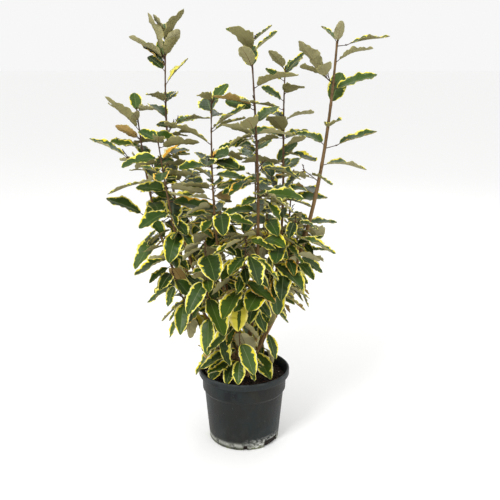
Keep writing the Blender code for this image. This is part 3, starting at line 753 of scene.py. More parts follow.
def fill_out(crown, mass, twigs):
    """Smaller leaves along a mass's stem and twigs, where its own space still has room for them."""
    low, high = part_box(mass.name)
    leaves = []
    number = FILL_FIRST_NUMBER
    for turn in range(FILL_ROUNDS):
        rng = random.Random(mass.seed * SEED_STEP + turn)
        for path in [mass.path] + twigs:
            along = lengths_of(path)
            place = rng.uniform(0.2, 1.0) * FILL_SPACING_LOW
            bearing = rng.uniform(0, 360)
            while place < along[-1]:
                root = point_at(path, along, place)
                bearing += FILL_TURN
                number += 1
                size = FILL_SIZE * rng.uniform(*FILL_SIZE_RANGE)
                leaf = try_leaf(crown, mass, root, bearing, number, size, FILL_ROLL)
                if leaf:
                    leaves.append(leaf)
                spacing = by_height(root.z, FILL_SPACING_LOW, FILL_SPACING_TOP, FILL_SPARSE_FROM)
                place += spacing * rng.uniform(*SPACING_RANGE)
    kept = []
    for leaf in leaves:
        near, far = box_of(leaf_shape(leaf)[0])
        if all(near[k] > low[k] + BOX_MARGIN and far[k] < high[k] - BOX_MARGIN for k in range(3)):
            kept.append(leaf)
    return kept


def fresh():
    bpy.ops.object.select_all(action="DESELECT")


def finished(piece, material, slot, *nodes):
    """A piece with its material, riding on the body and standing for the named solids."""
    if material:
        piece.data.materials.clear()
        piece.data.materials.append(material)
    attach(piece, BODY)
    if nodes:
        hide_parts(*nodes)
    return piece


def screen(red, green, blue):
    """A colour as read on a screen, from 0 to 255, in the linear values that a shader takes."""
    return tuple((c / 255 / 12.92 if c <= 10 else ((c / 255 + 0.055) / 1.055) ** 2.4) for c in (red, green, blue))


# Shader groups

def group_with(name, inputs, outputs):
    """An empty shader group with named inputs (name, type, default) and outputs (name, type)."""
    group = bpy.data.node_groups.new(name, "ShaderNodeTree")
    for label, kind, value in inputs:
        socket = group.interface.new_socket(label, in_out="INPUT", socket_type=kind)
        if value is not None:
            socket.default_value = value
    for label, kind in outputs:
        group.interface.new_socket(label, in_out="OUTPUT", socket_type=kind)
    return group, group.nodes.new("NodeGroupInput"), group.nodes.new("NodeGroupOutput")


def ramp_between(nodes, low, high):
    """A map range node that turns values from low to high into 0 to 1, and holds them there."""
    node = nodes.new("ShaderNodeMapRange")
    node.inputs["From Min"].default_value = low
    node.inputs["From Max"].default_value = high
    return node


def build_grain():
    """Grain: a fine noise in object space, as a height and as a roughness between two values."""
    group, given, out = group_with(
        "grain",
        [
            ("Place", "NodeSocketVector", None),
            ("Scale", "NodeSocketFloat", 300.0),
            ("Smoothest", "NodeSocketFloat", 0.4),
            ("Roughest", "NodeSocketFloat", 0.7),
        ],
        [("Height", "NodeSocketFloat"), ("Roughness", "NodeSocketFloat")],
    )
    nodes, links = group.nodes, group.links
    fine = nodes.new("ShaderNodeTexNoise")
    fine.inputs["Detail"].default_value = 3.0
    links.new(given.outputs["Place"], fine.inputs["Vector"])
    links.new(given.outputs["Scale"], fine.inputs["Scale"])
    spread = ramp_between(nodes, 0.3, 0.7)
    links.new(fine.outputs["Fac"], spread.inputs["Value"])
    links.new(given.outputs["Smoothest"], spread.inputs["To Min"])
    links.new(given.outputs["Roughest"], spread.inputs["To Max"])
    links.new(fine.outputs["Fac"], out.inputs["Height"])
    links.new(spread.outputs["Result"], out.inputs["Roughness"])
    return group


def build_mottle():
    """Mottle: a mask of soft patches in object space, wider as the threshold falls."""
    group, given, out = group_with(
        "mottle",
        [
            ("Place", "NodeSocketVector", None),
            ("Scale", "NodeSocketFloat", 20.0),
            ("Threshold", "NodeSocketFloat", 0.5),
            ("Softness", "NodeSocketFloat", 0.1),
        ],
        [("Mask", "NodeSocketFloat")],
    )
    nodes, links = group.nodes, group.links
    noise_node = nodes.new("ShaderNodeTexNoise")
    noise_node.inputs["Detail"].default_value = 5.0
    noise_node.inputs["Roughness"].default_value = 0.6
    links.new(given.outputs["Place"], noise_node.inputs["Vector"])
    links.new(given.outputs["Scale"], noise_node.inputs["Scale"])
    end = nodes.new("ShaderNodeMath")
    end.operation = "ADD"
    links.new(given.outputs["Threshold"], end.inputs[0])
    links.new(given.outputs["Softness"], end.inputs[1])
    step = nodes.new("ShaderNodeMapRange")
    links.new(noise_node.outputs["Fac"], step.inputs["Value"])
    links.new(given.outputs["Threshold"], step.inputs["From Min"])
    links.new(end.outputs[0], step.inputs["From Max"])
    links.new(step.outputs["Result"], out.inputs["Mask"])
    return group


GRAIN = build_grain()
MOTTLE = build_mottle()


class Finish:
    """A material under construction: its shader, its object coordinates and short ways to add nodes."""

    def __init__(self, name, colour, roughness=0.6, **settings):
        self.material = bpy.data.materials.new(name)
        self.material.use_nodes = True
        self.nodes = self.material.node_tree.nodes
        self.links = self.material.node_tree.links
        self.shader = self.nodes["Principled BSDF"]
        self.shader.inputs["Base Color"].default_value = (*colour, 1.0)
        self.shader.inputs["Roughness"].default_value = roughness
        for label, value in settings.items():
            self.shader.inputs[label.replace("_", " ")].default_value = value
        self.place = self.nodes.new("ShaderNodeTexCoord").outputs["Object"]
        self.colour = None
        self.base = colour

    def stretched(self, size):
        """The object coordinates, scaled by a factor on each axis."""
        node = self.nodes.new("ShaderNodeMapping")
        node.inputs["Scale"].default_value = size
        self.links.new(self.place, node.inputs["Vector"])
        return node.outputs["Vector"]

    def group(self, group, place=None, **values):
        node = self.nodes.new("ShaderNodeGroup")
        node.node_tree = group
        self.links.new(place or self.place, node.inputs["Place"])
        for label, value in values.items():
            node.inputs[label].default_value = value
        return node

    def bump(self, height, distance, strength=1.0):
        node = self.nodes.new("ShaderNodeBump")
        node.inputs["Distance"].default_value = distance
        node.inputs["Strength"].default_value = strength
        self.links.new(height, node.inputs["Height"])
        last = self.shader.inputs["Normal"]
        if last.is_linked:
            self.links.new(last.links[0].from_socket, node.inputs["Normal"])
        self.links.new(node.outputs["Normal"], last)

    def grain(self, scale, smoothest, roughest, depth, place=None):
        """Fine relief, with the roughness that goes with it."""
        node = self.group(GRAIN, place, Scale=scale, Smoothest=smoothest, Roughest=roughest)
        self.links.new(node.outputs["Roughness"], self.shader.inputs["Roughness"])
        self.bump(node.outputs["Height"], depth)

    def mottle(self, scale, threshold, softness, place=None):
        return self.group(MOTTLE, place, Scale=scale, Threshold=threshold, Softness=softness).outputs["Mask"]

    def paint(self, mask, colour, most=1.0):
        """Lays a colour over what is there, as far as the mask goes."""
        mix = self.nodes.new("ShaderNodeMix")
        mix.data_type = "RGBA"
        mask = self.times(mask, most) if most < 1 else mask
        self.links.new(mask, mix.inputs["Factor"])
        if self.colour:
            self.links.new(self.colour, mix.inputs["A"])
        else:
            mix.inputs["A"].default_value = (*self.base, 1.0)
        mix.inputs["B"].default_value = (*colour, 1.0)
        self.colour = mix.outputs["Result"]
        self.links.new(self.colour, self.shader.inputs["Base Color"])

    def times(self, one, other):
        node = self.nodes.new("ShaderNodeMath")
        node.operation = "MULTIPLY"
        self.links.new(one, node.inputs[0])
        if isinstance(other, float):
            node.inputs[1].default_value = other
        else:
            self.links.new(other, node.inputs[1])
        return node.outputs[0]

    def between(self, axis, low, high):
        """A mask that rises from 0 to 1 along an object axis; low above high makes it fall."""
        split = self.nodes.new("ShaderNodeSeparateXYZ")
        self.links.new(self.place, split.inputs[0])
        node = ramp_between(self.nodes, low, high)
        self.links.new(split.outputs[axis], node.inputs["Value"])
        return node.outputs["Result"]


# Materials

def pot_plastic():
    """Near-black moulded plastic: dusty along the foot, with dark damp patches and fine scuffs, a painted sheen
    on the rim band, a painted highlight along its top edge and painted light over the left half of the foot.
    """
    finish = Finish("pot_plastic", screen(21, 24, 22), Specular_IOR_Level=0.25)
    smears = finish.stretched((1.0, 1.0, 0.25))
    finish.paint(finish.mottle(26.0, 0.46, 0.2, smears), screen(34, 32, 25))
    finish.paint(finish.mottle(60.0, 0.55, 0.1, smears), screen(17, 24, 26), 0.7)
    finish.paint(finish.mottle(11.0, 0.46, 0.15), screen(19, 30, 31), 0.8)
    # painted sheen: the rim band, from just below its foot to the top, is lightened to blue-grey
    finish.paint(finish.between("Z", 0.166, 0.172), screen(30, 36, 36), 0.8)
    # painted highlight: a thin pale line, broken up by mottle, along the rim's top edge
    painted_rim_highlight = finish.times(finish.between("Z", 0.1815, 0.1845), finish.mottle(30.0, 0.42, 0.2))
    finish.paint(painted_rim_highlight, screen(62, 68, 68), 0.7)
    for left, right, low, high in ((-0.052, -0.012, 0.134, 0.166), (-0.084, -0.056, 0.162, 0.182)):
        damp = finish.times(finish.mottle(52.0, 0.42, 0.03), finish.between("Z", low, low + 0.008))
        damp = finish.times(damp, finish.between("Z", high, high - 0.006))
        damp = finish.times(damp, finish.between("X", left, left + 0.008))
        damp = finish.times(damp, finish.between("X", right, right - 0.008))
        damp = finish.times(damp, finish.between("Y", 0.0, -0.02))
        finish.paint(damp, screen(3, 5, 9), 0.95)
    band = finish.times(finish.between("Z", 0.024, 0.008), finish.mottle(34.0, 0.36, 0.25))
    finish.paint(band, screen(118, 119, 110), 0.85)
    # painted light: a pale strip over the left half of the foot, for light thrown up from the floor on the lit
    # side
    painted_foot_light = finish.times(finish.between("Z", 0.020, 0.014), finish.between("Z", 0.006, 0.009))
    painted_foot_light = finish.times(painted_foot_light, finish.mottle(48.0, 0.40, 0.12))
    finish.paint(finish.times(painted_foot_light, finish.between("X", 0.004, -0.004)), screen(176, 177, 168), 0.8)
    algae = finish.times(finish.between("Z", 0.014, 0.002), finish.mottle(30.0, 0.38, 0.2))
    finish.paint(algae, screen(88, 96, 54), 0.85)
    chalk = finish.times(finish.between("X", -0.006, 0.030), finish.between("Y", 0.0, -0.05))
    chalk = finish.times(chalk, finish.between("Z", 0.032, 0.012))
    fine = finish.mottle(210.0, 0.44, 0.16, finish.stretched((0.6, 0.6, 1.0)))
    finish.paint(finish.times(chalk, fine), screen(216, 216, 210), 0.95)
    film = finish.times(finish.mottle(45.0, 0.42, 0.3), finish.between("Z", 0.070, 0.020))
    finish.paint(film, screen(58, 58, 52), 0.5)
    scuffs = finish.mottle(260.0, 0.68, 0.05, finish.stretched((1.0, 1.0, 0.25)))
    finish.paint(scuffs, screen(110, 112, 106), 0.6)
    finish.grain(420.0, 0.38, 0.62, 0.00012)
    finish.bump(finish.mottle(60.0, 0.45, 0.3, smears), 0.0002)
    return finish.material


def compost_look():
    finish = Finish("compost", screen(26, 20, 16), Specular_IOR_Level=0.25)
    finish.paint(finish.mottle(160.0, 0.52, 0.12), screen(52, 38, 30))
    finish.paint(finish.mottle(420.0, 0.62, 0.06), screen(84, 60, 46))
    finish.paint(finish.mottle(60.0, 0.56, 0.10), screen(14, 11, 9))
    finish.grain(700.0, 0.75, 1.0, 0.0010)
    return finish.material


def crumb_look(name, colour, other):
    finish = Finish(name, colour, Specular_IOR_Level=0.25)
    finish.paint(finish.mottle(300.0, 0.48, 0.10), other)
    finish.grain(900.0, 0.7, 0.95, 0.0004)
    return finish.material


def bark_look(name, light, dark, scale):
    """Thin smooth bark: stretched flecks of a dark brown and of a pale tan that paints highlights, darker in the
    young wood higher up.
    """
    finish = Finish(name, light, Specular_IOR_Level=0.2)
    finish.paint(finish.between("Z", 0.50, 0.74), dark)
    flecks = finish.stretched((1.0, 1.0, 0.35))
    finish.paint(finish.mottle(scale, 0.49, 0.12, flecks), screen(74, 54, 34), 0.7)
    # pale tan flecks: painted highlights, strewn at random
    finish.paint(finish.mottle(scale * 2, 0.60, 0.06, flecks), screen(158, 132, 94), 0.5)
    finish.grain(scale * 3, 0.55, 0.8, 0.0003, finish.stretched((1.0, 1.0, 0.35)))
    return finish.material


def leaf_skin(name, colour, roughness, relief, **settings):
    """A leaf zone in one plain colour, with a fine grain to its gloss and relief."""
    finish = Finish(name, colour, roughness, **settings)
    finish.grain(1400.0, roughness - 0.1, roughness + 0.12, relief)
    return finish.material


Zone = namedtuple("Zone", "name shades roughness relief")
ZONES = (
    Zone("deep_green", ((52, 76, 24), (62, 86, 26), (42, 62, 20), (54, 80, 32)), 0.40, 0.0002),
    Zone("full_green", ((64, 86, 32), (68, 92, 36), (56, 78, 28), (70, 92, 44)), 0.40, 0.0002),
    Zone("grey_green", ((86, 106, 58), (92, 110, 54), (98, 118, 78), (82, 102, 62)), 0.45, 0.0002),
    Zone("yellow", ((236, 218, 40), (240, 228, 84), (228, 210, 60), (232, 172, 40)), 0.5, 0.0002),
    Zone("cream", ((244, 240, 184), (240, 234, 146), (230, 228, 178), (240, 226, 124)), 0.5, 0.0002),
    Zone("rib", ((118, 132, 78), (108, 124, 66), (128, 138, 90), (104, 118, 66)), 0.5, 0.0002),
    # the orange-amber fourth shades of under and under_edge paint light shining through the leaf
    Zone("under", ((152, 146, 106), (138, 132, 90), (160, 154, 116), (168, 140, 84)), 0.75, 0.0004),
    Zone("under_edge", ((176, 168, 96), (160, 152, 98), (182, 174, 110), (198, 164, 66)), 0.7, 0.0004),
    Zone("under_rib", ((108, 80, 52), (126, 112, 76), (92, 66, 44), (120, 96, 60)), 0.65, 0.0002),
)
SHADES = 4
SHADE_ODDS = (36, 30, 26, 8)


def leaf_materials():
    """One material for each shade of each zone, in the order of the face slots."""
    materials = []
    for zone in ZONES:
        for n, shade in enumerate(zone.shades):
            under = zone.name.startswith("under")
            settings = {"Specular_IOR_Level": 0.10 if under else 0.34}
            name = f"{zone.name}_{n + 1}"
            materials.append(leaf_skin(name, screen(*shade), zone.roughness, zone.relief, **settings))
    return materials


# Blades

ZONE_ORDER = [zone.name for zone in ZONES]
FULL, GREY = ZONE_ORDER.index("full_green"), ZONE_ORDER.index("grey_green")
UPPER_STRIPS = ("cream", "yellow", "full_green", "deep_green", "deep_green", "deep_green", "rib")
UPPER_STRIPS = UPPER_STRIPS + UPPER_STRIPS[-2::-1]
UNDER_STRIPS = ("under_edge", "under", "under", "under", "under", "under", "under_rib")
UNDER_STRIPS = UNDER_STRIPS + UNDER_STRIPS[-2::-1]
COLUMNS = len(UPPER_STRIPS) + 1


def blade_faces():
    """One leaf's quads and triangles with their zones: a base and a tip point, then both skins' rows."""
    rows = BLADE_ROWS - 1
    upper = 2 + np.arange(rows * COLUMNS).reshape(rows, COLUMNS)
    lower = upper.copy()
    inner = COLUMNS - 2
    lower[:, 1:-1] = 2 + rows * COLUMNS + np.arange(rows * inner).reshape(rows, inner)
    quads, quad_zones, triangles, triangle_zones = [], [], [], []
    for j in range(COLUMNS - 1):
        top = ZONE_ORDER.index(UPPER_STRIPS[j])
        under = ZONE_ORDER.index(UNDER_STRIPS[j])
        triangles += [(0, upper[0, j], upper[0, j + 1]), (1, upper[-1, j + 1], upper[-1, j])]
        triangles += [(0, lower[0, j + 1], lower[0, j]), (1, lower[-1, j], lower[-1, j + 1])]
        triangle_zones += [top, top, under, under]
        for i in range(rows - 1):
            quads.append((upper[i, j], upper[i + 1, j], upper[i + 1, j + 1], upper[i, j + 1]))
            quads.append((lower[i, j], lower[i, j + 1], lower[i + 1, j + 1], lower[i + 1, j]))
            quad_zones += [top, under]
    return [np.array(item) for item in (quads, quad_zones, triangles, triangle_zones)]


def ripple(rng, t, speeds):
    """A smooth irregular curve along the leaf, between about -1 and 1."""
    waves = [np.sin(math.tau * (speed * t + rng.random())) / (n + 1) for n, speed in enumerate(speeds)]
    return sum(waves) / sum(1 / (n + 1) for n in range(len(speeds)))


def blade_width(rng, t, height):
    """Half width along the leaf as a share of its widest; blunter at the tip high in the crown."""
    foot = rng.uniform(*FOOT_FULLNESS)
    blunt = TIP_FULLNESS_TOP if height > SPARSE_FROM else TIP_FULLNESS_LOW
    tip = rng.uniform(*blunt)
    widest = foot / (foot + tip)
    return (t / widest) ** foot * ((1 - t) / (1 - widest)) ** tip


def zone_edges(rng, t, leaf, rib, yellow):
    """Shares of the half width at which one side's colour zones meet, row by row, from the rim to the rib."""
    inside = by_height(leaf.root.z, MARGIN_INSIDE_LOW, MARGIN_INSIDE_TOP)
    bite = np.clip(ripple(rng, t, (1.7, 4.1, 7.9)) - BITE_FROM, 0, 1) * MARGIN_BITE / (1 - BITE_FROM)
    edge = inside + MARGIN_SWING * ripple(rng, t, (1.3, 3.7, 9.2)) - bite
    edge = np.clip(edge, *MARGIN_LIMITS)
    if yellow:
        edge = edge * 0.25
    edge = np.maximum(edge, rib * 2.2)
    mid = edge - (MID_GAP + MID_SWING * np.clip(ripple(rng, t, (2.1, 5.2, 9.1)), 0, 1)) * edge
    mid = np.maximum(mid, rib * 1.7)
    rim = 1 - RIM_SHARE * (1 - edge)
    inner = [lerp(mid, rib, 1 / 3), lerp(mid, rib, 2 / 3), rib]
    return np.stack([np.ones_like(t), rim, edge, mid] + inner, axis=1)


def blade_points(leaf, rng, golden):
    """The points of one leaf, in the order that blade_faces takes."""
    marks = [n / ARC_STEPS for n in range(ARC_STEPS + 1)]
    frames = np.array([[tuple(v) for v in f] for f in leaf_frames(leaf, marks)])
    t = np.linspace(0, 1, BLADE_ROWS + 1)[1:-1]
    place, side, up = (
        np.stack([np.interp(t, marks, frames[:, k, c]) for c in range(3)], axis=1) for k in range(3)
    )
    recurve = leaf.length * TIP_RECURVE
    place = place + up * (recurve * np.clip(t - 0.7, 0, 1) ** 2 / 0.09)[:, None]
    half = leaf.length * leaf.slimness / 2 * blade_width(rng, t, leaf.root.z)
    rib = np.clip(RIB_WIDTH / 2 / half, 0, 0.2) * (1.1 - 0.6 * t)
    yellow = rng.random() < PLAIN_YELLOW_SHARE or leaf in golden
    fade = np.sin(math.pi * t) ** 0.5
    across, heights = [], []
    for hand in (-1, 1):
        shares = zone_edges(rng, t, leaf, rib, yellow)
        teeth = TEETH_DEPTH * np.sin(math.tau * (TEETH * t + rng.random())) * rng.uniform(0.4, 1.2)
        outline = 1 + (OUTLINE_WOBBLE * ripple(rng, t, (2.3, 5.1, 8.7)) + teeth) * fade
        reach = shares * (half * outline)[:, None]
        trough = math.tan(math.radians(LEAF_TROUGH)) * TROUGH_SHARE
        lift = reach * trough * shares**0.5
        for speed, depth in EDGE_WAVES:
            wave = leaf.length * depth * rng.uniform(0.6, 1.3) * np.sin(math.tau * (speed * t + rng.random()))
            lift = lift + (wave * fade)[:, None] * shares ** (1.6 + speed / 4)
        veins = VEIN_LIFT * np.cos(math.tau * (VEINS * t[:, None] - VEIN_SWEEP * shares))
        lift = lift + veins * shares * (1.15 - shares) * 2.5
        across.append(hand * (reach if hand < 0 else reach[:, ::-1]))
        heights.append(lift if hand < 0 else lift[:, ::-1])
    across, heights = np.concatenate(across, axis=1), np.concatenate(heights, axis=1)
    upper = place[:, None] + side[:, None] * across[..., None] + up[:, None] * heights[..., None]
    share = np.abs(across[:, 1:-1]) / half[:, None]
    thick = BLADE_THICKNESS * (1 - (1 - RIM_THICKNESS_SHARE) * np.clip(share, 0, 1))
    lower = upper[:, 1:-1] - up[:, None] * thick[..., None]
    ends = frames[[0, -1], 0] + np.array([[0, 0, 0], up[-1] * recurve])
    return np.concatenate([ends, upper.reshape(-1, 3), lower.reshape(-1, 3)])


def array_mesh(name, points, runs, slots, materials):
    """An object made from points and runs of faces, each run with one number of corners."""
    mesh = bpy.data.meshes.new(name)
    corners = np.concatenate([run.ravel() for run in runs])
    sizes = np.concatenate([np.full(len(run), run.shape[1]) for run in runs])
    mesh.vertices.add(len(points))
    mesh.vertices.foreach_set("co", points.astype(np.float32).ravel())
    mesh.loops.add(len(corners))
    mesh.loops.foreach_set("vertex_index", corners.astype(np.int32))
    mesh.polygons.add(len(sizes))
    mesh.polygons.foreach_set("loop_start", np.concatenate([[0], np.cumsum(sizes)[:-1]]).astype(np.int32))
    mesh.update(calc_edges=True)
    for material in materials:
        mesh.materials.append(material)
    mesh.polygons.foreach_set("material_index", slots.astype(np.int32))
    mesh.shade_smooth()
    mesh.set_sharp_from_angle(angle=math.radians(55))
    mesh.update()
    piece = bpy.data.objects.new(name, mesh)
    bpy.context.scene.collection.objects.link(piece)
    return piece


def leaf_piece(name, leaves, golden, materials):
    """Many leaves joined to one mesh, each with its own outline, waves and shades."""
    quads, quad_zones, triangles, triangle_zones = blade_faces()
    rng = random.Random(name)
    points = [blade_points(leaf, rng, golden) for leaf in leaves]
    offsets = (np.arange(len(leaves)) * len(points[0]))[:, None, None]
    kinds = range(SHADES)
    shades = [rng.choices(kinds, SHADE_ODDS, k=len(ZONES)) for _ in leaves]
    shades = np.array(shades) + np.arange(len(ZONES)) * SHADES
    grey = np.array([rng.random() < GREY_BORDER_SHARE for _ in leaves])[:, None]
    zones = np.where(grey & (quad_zones == FULL), GREY, quad_zones)
    slots = [np.take_along_axis(shades, zones, axis=1).ravel(), shades[:, triangle_zones].ravel()]
    runs = [(quads[None] + offsets).reshape(-1, 4), (triangles[None] + offsets).reshape(-1, 3)]
    return array_mesh(name, np.concatenate(points), runs, np.concatenate(slots), materials)


# Wood

class Rods:
    """Thin tapering rods gathered into one mesh: stalks, twigs, spurs and buds."""

    def __init__(self):
        self.points = []
        self.quads = []
        self.caps = []

    def add(self, path, radii):
        ways = [(b - a).normalized() for a, b in zip(path, path[1:])]
        verts, faces = sweep(path, ways + ways[-1:], radii, WOOD_SIDES)
        start = len(self.points)
        self.points += [tuple(v) for v in verts]
        self.quads += [[start + k for k in face] for face in faces[:-2]]
        self.caps += [[start + k for k in face] for face in faces[-2:]]

    def piece(self, name, material):
        runs = [np.array(self.quads), np.array(self.caps)]
        slots = np.zeros(len(self.quads) + len(self.caps))
        return array_mesh(name, np.array(self.points), runs, slots, [material])


def add_stalk(rods, leaf):
    """A leaf's stalk, from inside the wood to a little way along the rib."""
    marks = [0.0, 1 / ARC_STEPS]
    foot, ahead = (frame[0] for frame in leaf_frames(leaf, marks))
    bend = leaf.root.lerp(foot, 0.5) - Vector((0, 0, PETIOLE * 0.06))
    girth = PETIOLE_GIRTH / 2 * (0.7 + 5 * leaf.length)
    rods.add([leaf.root, bend, foot, ahead], [girth * 1.2, girth, girth * 0.9, girth * 0.35])


def add_bud(rods, place, way, size=1.0):
    """A pointed bud, as a short rod that swells and closes."""
    profile = ((0.0, 0.5), (0.35, 1.0), (0.7, 0.7), (1.0, 0.12))
    path = [place + way * (BUD_LENGTH * size * along) for along, _ in profile]
    rods.add(path, [BUD_GIRTH / 2 * size * wide for _, wide in profile])


def add_spur(rods, rng, root, bearing):
    """A short bare spur with buds along it and one at its end."""
    way = heading(bearing, rng.uniform(18, 50))
    length = rng.uniform(*SPUR_LENGTH)
    path = [root, root + way * length * 0.5, root + way * length]
    rods.add(path, [SPUR_GIRTH / 2, SPUR_GIRTH / 2.4, SPUR_GIRTH / 3])
    for share in (0.55, 0.8, 1.0):
        side = heading(rng.uniform(0, 360), 70)
        add_bud(rods, root + way * length * share, (way * (2 if share == 1 else 0.8) + side).normalized())


def stem_piece(stem, roots, material):
    """One whole stem from the trunk to its tip: a path with thickness that swells at its leaves."""
    curve = stem_curve(stem)
    along = lengths_of(curve)
    count = round(along[-1] / STEM_POINTS)
    tip = STOUT_TIPS.get(stem.name, STEM_END)
    fresh()
    bpy.ops.curve.primitive_nurbs_path_add()
    piece = bpy.context.object
    piece.name = stem.name + "_stem"
    piece.location = (0, 0, 0)
    piece.data.splines.clear()
    spline = piece.data.splines.new("POLY")
    spline.points.add(count)
    for n in range(count + 1):
        place = point_at(curve, along, along[-1] * n / count)
        radius = lerp(stem.girth, tip, (n / count) ** TAPER) / 2
        nearest = min(((place - root).length for root in roots), default=1.0)
        swell = NODE_SWELL * (STEM_TIP / radius) ** 0.5 * math.exp(-((nearest / NODE_SPAN) ** 2))
        spline.points[n].co = (*place, 1.0)
        spline.points[n].radius = radius * (1 + swell) - BARK_RELIEF * 0.2
    piece.data.bevel_depth = 1.0
    piece.data.bevel_resolution = STEM_BEVEL
    piece.data.use_fill_caps = True
    bpy.ops.object.convert(target="MESH")
    bpy.ops.object.mode_set(mode="EDIT")
    bpy.ops.mesh.select_all(action="SELECT")
    bpy.ops.mesh.remove_doubles(threshold=MERGE)
    bpy.ops.mesh.normals_make_consistent(inside=False)
    bpy.ops.object.mode_set(mode="OBJECT")
    return relief(bpy.context.object, material)


def relief(piece, material):
    """Bark relief all over a piece, by a displace modifier that is then applied."""
    texture = bpy.data.textures.get("bark_relief") or bpy.data.textures.new("bark_relief", "CLOUDS")
    texture.noise_scale = BARK_GRAIN
    fresh()
    piece.select_set(True)
    bpy.context.view_layer.objects.active = piece
    change = piece.modifiers.new("bark", "DISPLACE")
    change.texture = texture
    change.texture_coords = "LOCAL"
    change.strength = BARK_RELIEF
    bpy.ops.object.modifier_apply(modifier=change.name)
    bpy.ops.object.shade_smooth()
    piece.data.materials.clear()
    piece.data.materials.append(material)
    return piece


def drawn_up(name, rings, sides):
    """A closed round piece: a filled circle, extruded and scaled from ring to ring along a profile."""
    fresh()
    radius, height = rings[0]
    bpy.ops.mesh.primitive_circle_add(
        vertices=sides, radius=radius, fill_type="NGON", location=(0, 0, height)
    )
    piece = bpy.context.object
    piece.name = name
    bpy.ops.object.transform_apply(location=True, rotation=False, scale=False)
    bpy.ops.object.mode_set(mode="EDIT")
    bpy.ops.mesh.select_all(action="SELECT")
    for wider, higher in rings[1:]:
        bpy.ops.mesh.extrude_region_move(TRANSFORM_OT_translate={"value": (0, 0, higher - height)})
        grow_by = wider / radius
        bpy.ops.transform.resize(value=(grow_by, grow_by, 1), center_override=(0, 0, higher))
        radius, height = wider, higher
    bpy.ops.mesh.select_all(action="SELECT")
    bpy.ops.mesh.normals_make_consistent(inside=False)
    bpy.ops.object.mode_set(mode="OBJECT")
    return piece


def trunk_piece(material):
    rings = [(max(radius, TRUNK_RADIUS * 0.2), height) for radius, height in trunk_profile()[1:]]
    fine = []
    for (r0, z0), (r1, z1) in zip(rings, rings[1:]):
        fine += [(lerp(r0, r1, k / 4), lerp(z0, z1, k / 4)) for k in range(4)]
    return relief(drawn_up("trunk_bark", fine + rings[-1:], TRUNK_TURN_SIDES), material)


# Pot and compost

def pot_piece(material):
    """The pot, drawn up along its profile, down its inside and notched round the foot."""
    profile = [point for point in pot_profile() if point[0] > 0]
    pot = drawn_up("nursery_pot", profile, POT_SIDES)
    for slot in DRAIN_SLOTS:
        fresh()
        bpy.ops.mesh.primitive_cube_add(size=1)
        cutter = bpy.context.object
        cutter.scale = (2 * SLOT_DEPTH, slot.width, 2 * slot.height)
        bpy.ops.object.transform_apply(location=False, rotation=False, scale=True)
        bpy.ops.object.mode_set(mode="EDIT")
        bpy.ops.mesh.bevel(offset=SLOT_CORNER, segments=4, affect="EDGES")
        bpy.ops.object.mode_set(mode="OBJECT")
        cutter.rotation_euler = (0, 0, math.radians(slot.bearing))
        cutter.location = heading(slot.bearing, 90) * BASE_RADIUS
        fresh()
        pot.select_set(True)
        bpy.context.view_layer.objects.active = pot
        change = pot.modifiers.new("drain", "BOOLEAN")
        change.operation = "DIFFERENCE"
        change.object = cutter
        bpy.ops.object.modifier_apply(modifier=change.name)
        bpy.data.objects.remove(cutter)
    bpy.ops.object.shade_smooth_by_angle(angle=math.radians(28))
    pot.data.materials.clear()
    pot.data.materials.append(material)
    return pot


def soil_edge():
    """The compost's rings up the inside of the pot, ending at its top edge."""
    wall = inner_profile(CLEARANCE)
    below = [point for point in wall if point[1] < SOIL_LEVEL - SOIL_LUMPS]
    above = wall[len(below)]
    share = (SOIL_LEVEL - below[-1][1]) / (above[1] - below[-1][1])
    return below, lerp(below[-1][0], above[0], share)


def soil_piece(material):
    """The compost: a plug up the pot's inside, then fine rings inwards over the top, made lumpy."""
    below, edge = soil_edge()
    rings = below + [(edge, SOIL_LEVEL)]
    rings += [(edge * (1 - (n + 1) / (SOIL_STEPS + 1)), SOIL_LEVEL) for n in range(SOIL_STEPS)]
    soil = drawn_up("compost_fill", rings, SOIL_SIDES)
    top = soil.vertex_groups.new(name="top")
    for vert in soil.data.vertices:
        near = min(1.0, (edge - math.hypot(vert.co.x, vert.co.y)) / 0.004)
        if vert.co.z > SOIL_LEVEL - 1e-4 and near > 0:
            top.add([vert.index], near, "REPLACE")
    for name, size, strength in (("lumps", 3 * SOIL_GRAIN_SIZE, 1.0), ("grains", SOIL_GRAIN_SIZE, 0.8)):
        texture = bpy.data.textures.new(name, "CLOUDS")
        texture.noise_scale = size
        texture.noise_depth = 3
        change = soil.modifiers.new(name, "DISPLACE")
        change.texture = texture
        change.texture_coords = "LOCAL"
        change.direction = "Z"
        change.strength = SOIL_RELIEF * strength
        change.vertex_group = "top"
        bpy.ops.object.modifier_apply(modifier=change.name)
    bpy.ops.object.shade_smooth()
    soil.data.materials.clear()
    soil.data.materials.append(material)
    return soil


def lump_shape():
    """The points and faces of one small rough lump, with a few faces."""
    fresh()
    bpy.ops.mesh.primitive_ico_sphere_add(subdivisions=1, radius=1)
    lump = bpy.context.object
    points = np.array([tuple(vert.co) for vert in lump.data.vertices])
    faces = np.array([tuple(face.vertices) for face in lump.data.polygons])
    bpy.data.objects.remove(lump)
    return points, faces


